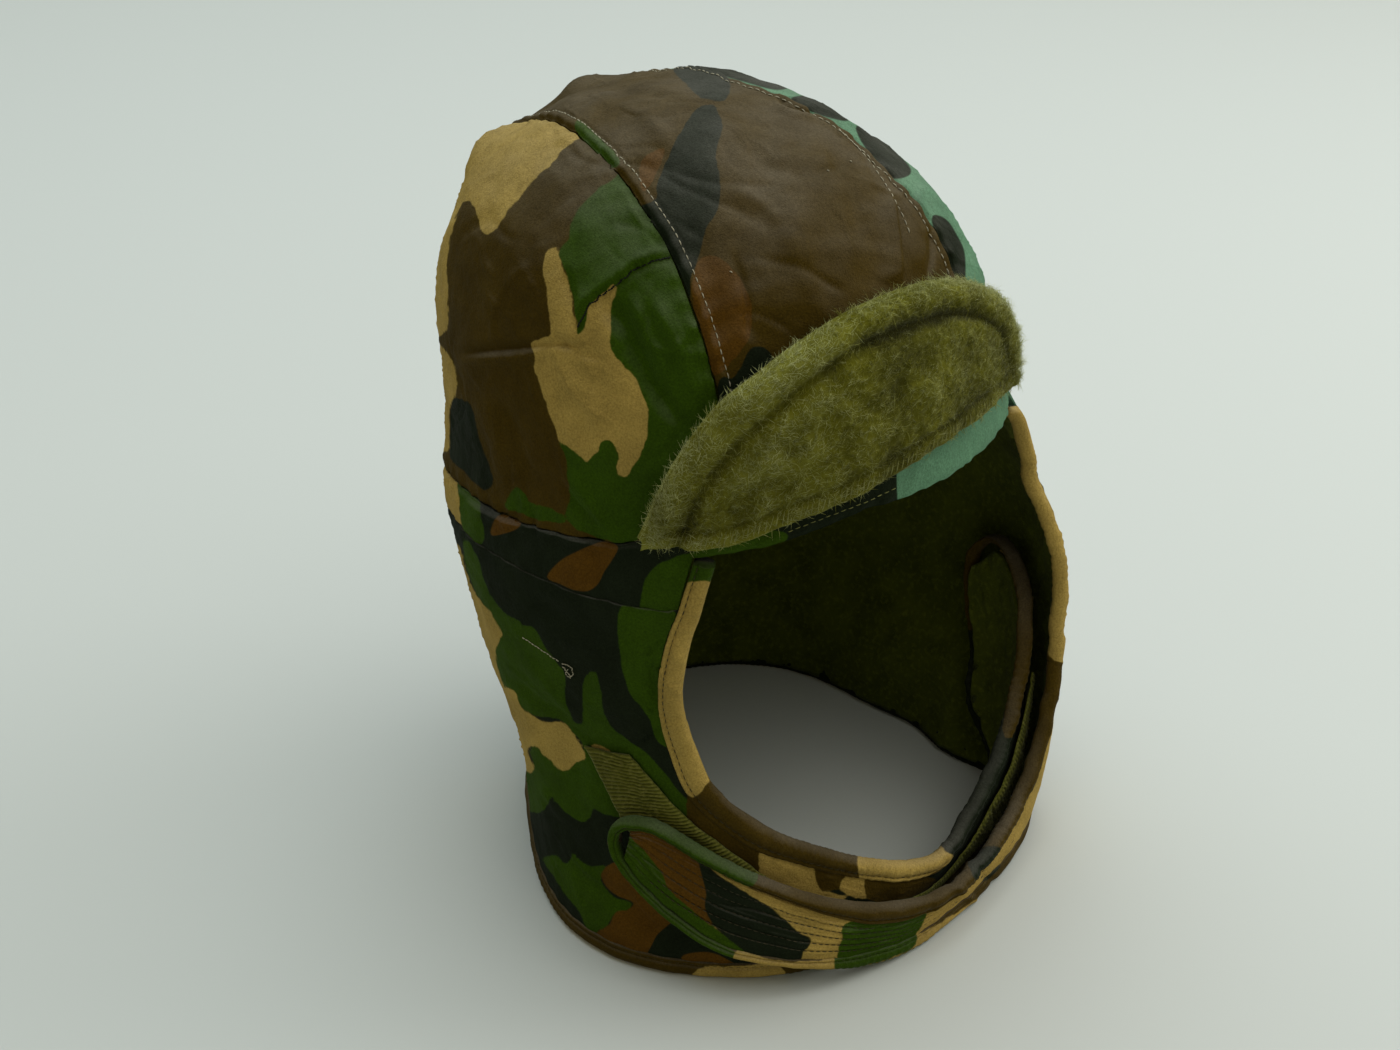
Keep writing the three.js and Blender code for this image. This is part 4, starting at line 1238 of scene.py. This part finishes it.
def tape(side, columns, seam_columns, stand_at, sign):
    """Folded tape swept along a flap's free edge. Gives its rings of points."""
    path, s = edge_path(columns, BROW_ENDS[side], seam_columns)
    ahead = unit(np.gradient(path, axis=0))
    normal = np.stack([ahead[:, 1], -ahead[:, 0]], 1) * sign
    across, deep = np.array(BINDING_SECTION).T
    turned_back = np.arange(len(path)) > np.argmax(path[:, 0] * sign)
    slim = slimness(path[:, 0] / ARC_PER_DEGREE, sign, turned_back)
    face_edge = bell(s - s[-1] + FACE_EDGE["before"], FACE_EDGE["stretch"]) * (sign > 0)
    widen = (1 - slim) * (1 + FACE_EDGE["wider"] * face_edge)
    broad = across.max()
    out = broad - (broad - across) * widen[:, None] + FACE_EDGE["out"] * face_edge[:, None]
    u, z = (path[:, None, k] + normal[:, None, k] * out for k in (0, 1))
    at = u / ARC_PER_DEGREE
    wobble = 0.18 * np.sin(s / 3.1 + 2 * np.sin(s / 17)) + 0.12 * np.sin(s / 1.7)
    wobble += 0.3 * np.sin(s * 2.2 + 3 * np.sin(s / 9)) * smooth(np.sin(s / 21 + sign), -0.3, 0.8)
    depth = deep + np.where(deep < BINDING_DEPTH / 2, -1, 1) * wobble[:, None] * 0.5
    rings = wall(at, np.maximum(z, 0.0), stand_at(at)) - depth[..., None] * level(at)
    index, _, faces = tube(*rings.shape[:2])
    faces += [index[0][::-1].tolist(), index[-1].tolist()]
    points = rings.reshape(-1, 3)
    binding = make("edge_binding_%s_tape" % side, points, turned(points, faces), tape_mat)
    camouflage(binding, "edge_binding_" + side, True)
    done(binding, "edge_tape", "edge_binding_" + side)
    return rings


def flap_lining(side, columns, stand_at, sign):
    """The pile lining behind a flap's cloth, on every second column of it."""
    if len(columns) % 4 == 1:
        thin = columns[::2].copy()
    else:
        thin = np.concatenate([columns[:-1:2], columns[-1:]])
    thin[0, (0, 2)] = -LINING_SEAM * sign
    lines = edged(44, 0.5, 3)
    near = CLOTH + GAP
    lap = LAP_HIGH * (1 - smooth(lines, 0, 0.12))
    outer = flap_grid(thin, stand_at, near, lines, (0.0, LINING_UNDER))
    inner = flap_grid(thin, stand_at, near + THIN_LINING + lap, lines, (LAP_WIDE, LINING_UNDER))
    inner = inner - outward(inner) * (TUFT * tufts(inner))[..., None]
    lining("flap_lining_" + side, inner, outer)


def flap(side, rows, stand_at, sign):
    """A flap with its strap, lining and tape. Gives what its stitches are laid along."""
    columns, seam_columns = flap_columns(rows)
    under = [UNDER_TAPE + UNDER_SLIM * slimness(columns[:, k], sign, k / 2) for k in (0, 2)]
    outer, inner = (
        flap_grid(columns, stand_at, depth, edged(FLAP_LINES), under, seam_columns)
        for depth in (0, CLOTH))
    up, run = lengths(outer, 1), lengths(outer, 0)
    top = up[:, -1:] - up
    rise = pucker(run, top, 9, 0.25) + pucker(run, up, 10, 0.2)
    for edge in (up, top):
        rise += seam_dip(edge, 0.4) - 0.3 * bell(edge - 2.2, 1.0)
    if side == "left":
        strap = 1 - smooth(columns[:, :1], 25, 45)
        for share in STRAP_ROWS:
            row = up - share * up[:, -1:]
            rise += strap * (0.22 * bell(row - 1.0, 0.6) - 0.42 * bell(row, 0.5))
    outer = outer + outward(outer) * rise[..., None]
    cloth("flap_" + side, outer, inner)
    flap_lining(side, columns, stand_at, sign)
    rings = tape(side, columns, seam_columns, stand_at, sign)
    return dict(columns=columns, grid=outer, rings=rings)


flaps = dict(right=flap("right", RIGHT_FLAP, sink_at, 1), left=flap("left", LEFT_FLAP, lift_at, -1))

# Loop tape: ribs across its length. On the far strap it is wider and stands further out
RIB_PITCH, RIB_HEIGHT = 1.6, 0.5
FAR_STRAP = dict(start=8, end=40, wider=5.0, out=1.2)


def plain_back(grid):
    return np.zeros(grid[::2, ::2].size // 3)


def loop_tape():
    columns = fine_rows(LOOP_TAPE, 761)
    far = smooth(columns[:, 2:3], FAR_STRAP["start"], FAR_STRAP["end"])
    columns[:, 3:] += FAR_STRAP["wider"] * far
    shares = edged(16, 0.4, 3)
    rise_at = TAPE_RISE + FAR_STRAP["out"] * far
    base = flap_grid(columns, sink_at, -rise_at, shares)
    outer = flap_grid(columns, sink_at, -rise_at - TAPE, shares)
    run, across = lengths(outer, 0), lengths(outer, 1)
    rim = np.minimum(across, across[:, -1:] - across)
    ribs = np.sin(2 * math.pi * (run + 1.2 * np.sin(across / 5)) / RIB_PITCH)
    rise = RIB_HEIGHT * ribs * smooth(rim, 0.5, 2.0) - 0.6 * bell(rim, 0.8)
    outer = outer + outward(outer) * rise[..., None]
    loops = sheet("loop_tape_ribs", outer, base, loop_mat)
    # Painted highlight and shade: the rib crests are stored paler and the hollows between them darker
    store(loops, "pale", np.concatenate([(0.6 * ribs).ravel(), plain_back(base)]))
    done(loops, "loop_pile", "loop_tape")


def hook_patch():
    columns = fine_rows(HOOK_PATCH, 41)
    outer, inner = (
        flap_grid(columns, lift_at, BINDING_DEPTH + GAP + deep, edged(12, 0.5, 2))
        for deep in (0, HOOK))
    done(sheet("hook_patch_tape", outer, inner, hook_mat), "hook_tape", "hook_patch")


loop_tape()
hook_patch()


# Visor, turned up: cloth against the crown, pile facing out
def visor_grid(out, columns, shares, lower):
    """A layer of the visor, so far out from the crown, with its top edge so much lower."""
    at = np.linspace(VISOR[0][0], VISOR[-1][0], columns)[:, None]
    height = visor_low(at) * (1 - shares) + (visor_high(at) - lower) * shares
    stand = VISOR_STAND[0] * (1 - shares) + VISOR_STAND[1] * shares + out
    return wall(at, height, stand, folds=False)


# How much lower the top edge is than its table says, for the shell and for the pile
SHELL_LOWER, PILE_LOWER = 3.5, 1.4
# Distances over the pile: its rolled rim and the crease inside, from the top edge, and the
# crease along the sewn edge
RIM_ROLL, RIM_CREASE, SEWN_CREASE = 5.0, 11.4, 6.6
# Unevenness of the pile: tangled clumps, bumps and wide hollows
clumps, bumps, hollows = waves(41, 60, 2.6, 5.5), waves(42, 40, 7, 16), waves(43, 30, 22, 45)


def visor_shell():
    outer, inner = (
        visor_grid(out, 161, edged(50, 0.4, 5), SHELL_LOWER) for out in (VISOR_CLOTH, 0))
    cloth("visor_shell", outer, inner)


def visor_pile():
    """The pile side. Gives its surface and the fields that fibres and stitches follow."""
    shares = edged(110, 0.3, 10)
    base, ground = (
        visor_grid(VISOR_CLOTH + GAP + out, 251, shares, PILE_LOWER) for out in (0, 1.0))
    up, run = lengths(ground, 1), lengths(ground, 0)
    span = up[:, -1:]
    full = smooth(span, 8, 30)
    rim = np.full(up.shape, 1e9)
    for spot in ground[:, -1]:
        rim = np.minimum(rim, np.linalg.norm(ground - spot, axis=-1))
    along = np.linspace(0, 1, len(rim))[:, None]
    right_end = smooth(along, 0.80, 1.0)
    crease = rim - RIM_CREASE - (0.8 * np.sin(run / 23) + 0.5 * np.sin(run / 9 + 1))
    deep = full * (1.7 + 1.3 * smooth(along, 0.25, 0.6)) * (1 - 0.7 * right_end)
    thick = 2.7 + 0.9 * full * np.sin(math.pi * np.clip(up / np.maximum(span, 1), 0, 1))
    thick += full * 2.6 * bell(rim - RIM_ROLL, 3.8)
    thick -= deep * bell(crease, 1.8)
    thick += full * 0.7 * bell(rim - 16.5, 4)
    thick -= full * 1.1 * bell(up - SEWN_CREASE, 1.4)
    thick *= 1 - 0.3 * right_end
    for edge, radius in ((rim, 3.2), (up, 1.6)):
        inset = np.clip(1 - edge / (radius * (0.3 + 0.7 * full)), 0, 1)
        thick *= np.sqrt(1 - 0.97 * inset ** 2)
    rough = 0.16 * clumps(ground) + 0.28 * bumps(ground) + 0.35 * full * hollows(ground)
    rise = thick - 1.0 + np.clip(thick / 3, 0, 1) * rough
    top = ground + outward(ground) * rise[..., None]
    # Painted light and shade: the field is paler along the rolled rim, most at the right end, paler over
    # the first part and on bulges, and darker in the creases
    pale = bell(rim, 7) * (0.25 + 0.75 * smooth(along, 0.35, 0.9))
    pale += 0.1 * smooth(along, 0.4, 0.75) * bell(rim - 24, 8) - 0.3 * smooth(along, 0.3, 0.55)
    pale += 0.35 * (1 - smooth(along, 0.3, 0.6)) + 1.2 * right_end * bell(rim, 11)
    pale -= 0.8 * full * bell(crease, 2.4)
    pale -= 0.5 * full * bell(up - SEWN_CREASE, 1.4)
    pale += 0.14 * hollows(ground) + 0.12 * bumps(ground)
    nap = sheet("visor_pile_nap", top, base, visor_mat)
    store(nap, "pale", np.concatenate([pale.ravel(), plain_back(base)]))
    done(nap, "visor_pile", "visor_pile")
    inner_part = smooth(span, 5, 16) * smooth(up, 0.5, 2.5)
    all_over = np.clip(thick / 2.2, 0.15, 1) * inner_part
    at_rim = bell(rim, 5) * (0.3 + 0.7 * smooth(along, 0.3, 0.8)) * inner_part
    return dict(grid=top, up=up, pale=pale, all_over=all_over, at_rim=at_rim)


def fibres(name, grid, count, seed, length, radius, lay, chance, light_and_shade):
    """Short curved hairs with pointed ends, rooted just under a pile's surface."""
    rng = np.random.default_rng(seed)
    columns, lines = grid.shape[:2]
    u = rng.uniform(0, columns - 1.001, count)
    v = rng.uniform(0, lines - 1.001, count)
    keep = rng.uniform(size=count) < chance[u.astype(int), v.astype(int)]
    u, v = u[keep], v[keep]
    count = len(u)
    i, j = u.astype(int), v.astype(int)
    fu, fv = (u - i)[:, None], (v - j)[:, None]

    def blend(values):
        return (values[i, j] * (1 - fu) * (1 - fv) + values[i + 1, j] * fu * (1 - fv)
                + values[i, j + 1] * (1 - fu) * fv + values[i + 1, j + 1] * fu * fv)
    root, up = blend(grid), unit(blend(outward(grid)))
    flat = rng.normal(size=(count, 3)) + np.array(lay)
    flat = unit(flat - (flat * up).sum(1, keepdims=True) * up)
    tall = rng.uniform(0.25, 1.0, count)[:, None]
    long = length * rng.uniform(0.5, 1.3, count)[:, None]
    root = root - up * 0.3
    middle = root + long * (0.45 * flat + 0.28 * tall * up)
    curl = rng.normal(size=(count, 3)) * 0.3
    tip = middle + long * (0.5 * flat + 0.12 * tall * up + 0.35 * curl)
    side = np.cross(flat, up)
    wide = radius * rng.uniform(0.7, 1.3, count)[:, None]
    around = [side, -0.5 * side + 0.87 * up, -0.5 * side - 0.87 * up]
    points = np.stack([root + wide * a for a in around]
                      + [middle + 0.75 * wide * a for a in around] + [tip], 1)
    one = np.array([(0, 2, 1), (0, 1, 4), (0, 4, 3), (1, 2, 5), (1, 5, 4), (2, 0, 3),
                    (2, 3, 5), (3, 4, 6), (4, 5, 6), (5, 3, 6)])
    corners = points.shape[1]
    faces = (one[None] + corners * np.arange(count)[:, None, None]).reshape(-1, 3)
    hairs = make(name, points.reshape(-1, 3), faces.tolist(), fibre_mat)
    # Each hair takes the painted light and shade of the pile where it is rooted, with a random spread
    store(hairs, "pale", np.repeat(light_and_shade[i, j] + rng.normal(0, 0.25, count), corners))
    done(hairs, "visor_pile")


visor_shell()
pile = visor_pile()
fibres("visor_pile_fibres", pile["grid"], 19000, 51, 3.6, 0.085, (0.35, 0.1, 0.5),
       pile["all_over"], pile["pale"])
# Painted highlight: the rim's hairs are paler still
fibres("visor_rim_fibres", pile["grid"], 16000, 52, 4.6, 0.07, (0.2, 0.0, 0.7),
       pile["at_rim"], pile["pale"] + 0.3)


# Stitches: short closed threads laid along a path on a surface
def stitches(name, runs, radius, mat, slot_name, hump=0.35):
    """Bent rods with pointed ends. Each run gives their starts, their ends and the ways up."""
    starts, ends, ups = (np.concatenate(part) for part in zip(*runs))
    count, rings, sides = len(starts), 5, 6
    t = np.linspace(0, 1, rings)
    thin = np.sqrt(np.maximum(1e-3, 1 - (2 * t - 1) ** 4)) * 0.9 + 0.1
    ahead = unit(ends - starts)
    side = unit(np.cross(ahead, ups))
    lift = np.cross(side, ahead)
    centre = starts[:, None] + (ends - starts)[:, None] * t[:, None]
    centre = centre + lift[:, None] * (np.sin(math.pi * t) * radius * hump * 2)[:, None]
    angle = np.linspace(0, 2 * math.pi, sides, endpoint=False)[:, None]
    circle = np.cos(angle) * side[:, None] + np.sin(angle) * lift[:, None]
    points = centre[:, :, None] + circle[:, None] * (radius * thin)[:, None, None]
    tips = np.stack([starts - ahead * radius * 0.6, ends + ahead * radius * 0.6], 1)
    block = rings * sides
    points = np.concatenate([points.reshape(count, block, 3), tips], 1)
    index, beside, one = tube(rings, sides)
    one += [[block, int(beside[0, k]), int(index[0, k])] for k in range(sides)]
    one += [[block + 1, int(index[-1, k]), int(beside[-1, k])] for k in range(sides)]
    faces = [[v + i * (block + 2) for v in face] for i in range(count) for face in one]
    done(make(name, points.reshape(-1, 3), faces, mat), slot_name)


def run_of_stitches(points, ups, pitch, length, lift, end=1.0):
    """Starts, ends and ups of even stitches along a line of points."""
    s = lengths(points, 0)
    places = np.arange(0.0, s[-1] * end - length, pitch)

    def at_length(values, where):
        return np.stack([np.interp(where, s, values[:, k]) for k in range(3)], 1)
    up = unit(at_length(ups, places + length / 2))
    return at_length(points, places) + up * lift, at_length(points, places + length) + up * lift, up


def grid_line(grid, inset, flip):
    """The line over a grid at a distance from its first column, or its last if flipped."""
    across = lengths(grid, 0)
    if flip:
        across = across[-1:] - across
    n = outward(grid)
    line, ups = [], []
    for j in range(grid.shape[1]):
        order = np.argsort(across[:, j])
        for found, values in ((line, grid), (ups, n)):
            found.append([np.interp(inset, across[order, j], values[order, j, k]) for k in range(3)])
    return np.array(line), np.array(ups)


# Step in pixels along a charted path
CHART_STEP = 1.5


def on_chart(grid, text):
    """Points of a grid that lie under a charted path, with the directions out of it."""
    path = path_of(text)
    s = lengths(path, 0)
    places = np.linspace(0, s[-1], max(2, int(s[-1] / CHART_STEP)))
    n = outward(grid)
    seen = (n * (CHART_EYE - grid)).sum(-1) > 0
    flat, ups, pixels = grid[seen], n[seen], chart(grid[seen])
    line, out = [], []
    for x, y in zip(np.interp(places, s, path[:, 0]), np.interp(places, s, path[:, 1])):
        weight = np.exp(-((pixels - (x, y)) ** 2).sum(1) / 5)
        weight /= weight.sum() + 1e-12
        line.append(weight @ flat)
        out.append(weight @ ups)
    return np.array(line), unit(np.array(out))


def charted_runs(grid, rows):
    return [run_of_stitches(*on_chart(grid, text), *settings) for text, *settings in rows]


# Threads that the chart places, and a dark rod of painted shadow in the dart's groove: pixel path,
# pitch, stitch length, lift
DART_SHADOW = ((DART, 1.0, 1.15, 0.0),)
SEAM_THREAD = (("838,128 862,152 884,182 902,214 912,240", 2.6, 1.9, 0.1),)
SLIT_THREADS = (
    ("523,637 535,645 550,655 562,663", 1.6, 1.5, 0.15),
    ("562,663 568,664 573,668 575,674 571,678 567,674 570,668", 1.2, 1.3, 0.4),
    ("564,666 569,672 573,679", 1.2, 1.3, 0.5),
)
LINT = (
    ("826,170 830,172", 2.0, 1.0, 0.2),
    ("849,161 853,163", 2.0, 1.0, 0.2),
    ("729,271 733,273", 2.0, 1.0, 0.2),
)
BROW_LINE = (("787,532 850,508 870,500 900,486", 2.6, 1.8, 0.05),)
# Angle at which the rows of stitches along the left strap end
STRAP_END = 32

stitches("crown_top_stitching", [
    run_of_stitches(*grid_line(centre_grid, TOP_STITCHING, flip), 2.5, 1.9, 0.05)
    for flip in (False, True)], 0.2, pale_thread, "edge_tape")
stitches("binding_stitching", [
    run_of_stitches(rings[:, THREAD_OUTSIDE], rings[:, THREAD_OUTSIDE] - rings[:, THREAD_INSIDE],
                    2.7, 2.0, 0.05)
    for rings in (flaps["right"]["rings"], flaps["left"]["rings"])], 0.17, dark_thread, "edge_tape")
# Painted shadow: a near-black rod in the dart's groove stands for the fold's shadow, not a thread
stitches("dart_fold_shadow", charted_runs(side_grids["right"], DART_SHADOW), 0.28, shadow_thread,
         "camouflage_cloth")
stitches("seam_threads", charted_runs(centre_grid, SEAM_THREAD)
         + charted_runs(flaps["right"]["grid"], SLIT_THREADS) + charted_runs(centre_grid, LINT),
         0.17, pale_thread, "edge_tape")
stitches("brow_stitching", charted_runs(band_grid, BROW_LINE), 0.15, olive_thread, "edge_tape")


def strap_runs():
    """Rows of stitches along the left strap."""
    strap = flaps["left"]["columns"][:, 0] < STRAP_END
    grid = flaps["left"]["grid"]
    rows = [int(share * FLAP_LINES) for share in STRAP_ROWS]
    points, ups = grid[strap], outward(grid)[strap]
    return [run_of_stitches(points[:, row], ups[:, row], 2.4, 1.9, 0.0, 0.93) for row in rows]


# Slanting stitches along the visor's sewn edge: the part of the edge they take, their pitch
# and slant, how high over the edge they start and end, and how far they lift off it
SLANTING = dict(part=(0.05, 0.93), pitch=1.9, slant=1.6, foot=1.4, head=5.2, lift=0.15)


def slanting_run(grid, up):
    n = outward(grid)
    run = lengths(grid, 0)[:, 10]
    foot, head, ups = [], [], []
    for place in np.arange(*(run[-1] * share for share in SLANTING["part"]), SLANTING["pitch"]):
        i, k = np.searchsorted(run, (place, place + SLANTING["slant"]))
        foot.append(grid[i, np.searchsorted(up[i], SLANTING["foot"])])
        head.append(grid[k, np.searchsorted(up[k], SLANTING["head"])])
        ups.append(n[i, np.searchsorted(up[k], SLANTING["head"])])
    lift = SLANTING["lift"] * np.array(ups)
    return np.array(foot) + lift, np.array(head) + lift, np.array(ups)


stitches("strap_stitching", strap_runs(), 0.16, dark_thread, "camouflage_cloth")
stitches("visor_edge_stitching", [slanting_run(pile["grid"], pile["up"])], 0.16, olive_thread,
         "visor_pile", 0.8)

# Floor, light and camera
FLOOR_REACH, FLOOR_LOW = 4.0, 0.0003
# Lights: place, what it is aimed at, size, power, colour
LIGHTS = dict(
    key=((0.62, -0.35, 1.85), (0, 0, 0.12), 2.8, 27, (0.98, 1.0, 0.98)),
    sky=((0.15, 0.95, 1.8), (0, 0, 0.15), 2.4, 21, (0.72, 0.88, 1.0)),
    side=((1.35, -0.55, 0.75), (0, 0, 0.1), 1.0, 7, (1.0, 1.0, 1.0)),
)
SENSOR = 36.0

floor_mesh = bpy.data.meshes.new("floor")
floor_mesh.from_pydata([(x * FLOOR_REACH, y * FLOOR_REACH, -FLOOR_LOW) for x, y in (
    (-1, -1), (1, -1), (1, 1), (-1, 1))], [], [(0, 1, 2, 3)])
floor = add_object("floor", floor_mesh)
floor_mat, tree, shader = material("pale floor", 0.9)
shader.inputs["Base Color"].default_value = (0.55, 0.57, 0.545, 1)
floor_mesh.materials.append(floor_mat)

bpy.context.scene.view_settings.view_transform = "Standard"
world = bpy.data.worlds.new("studio")
bpy.context.scene.world = world
world.use_nodes = True
background = world.node_tree.nodes["Background"]
background.inputs["Color"].default_value = (1.0, 0.96, 0.74, 1)
background.inputs["Strength"].default_value = 0.34


def aim(obj, axes, place):
    """Puts an object at a place, with its right, its up and its back along three axes."""
    rows = [(*(float(v) for v in row), float(p)) for row, p in zip(np.stack(axes, 1), place)]
    obj.matrix_world = Matrix(rows + [(0, 0, 0, 1)])


for name, (place, target, size, power, colour) in LIGHTS.items():
    light = bpy.data.lights.new(name, "AREA")
    light.shape = "DISK"
    light.size = size
    light.energy = power
    light.color = colour
    back = unit(np.array(place, float) - np.array(target, float))
    right = unit(np.cross((0, 0, 1), back))
    aim(add_object(name, light), (right, np.cross(back, right), back), place)

camera_data = bpy.data.cameras.new("camera")
camera_data.sensor_width = SENSOR
camera_data.lens = CHART["focal"] / CHART["wide"] * SENSOR
camera = add_object("camera", camera_data)
aim(camera, (CHART_RIGHT, CHART_UP, CHART_BACK), (CHART_EYE + SHIFT) * MM)
bpy.context.scene.camera = camera
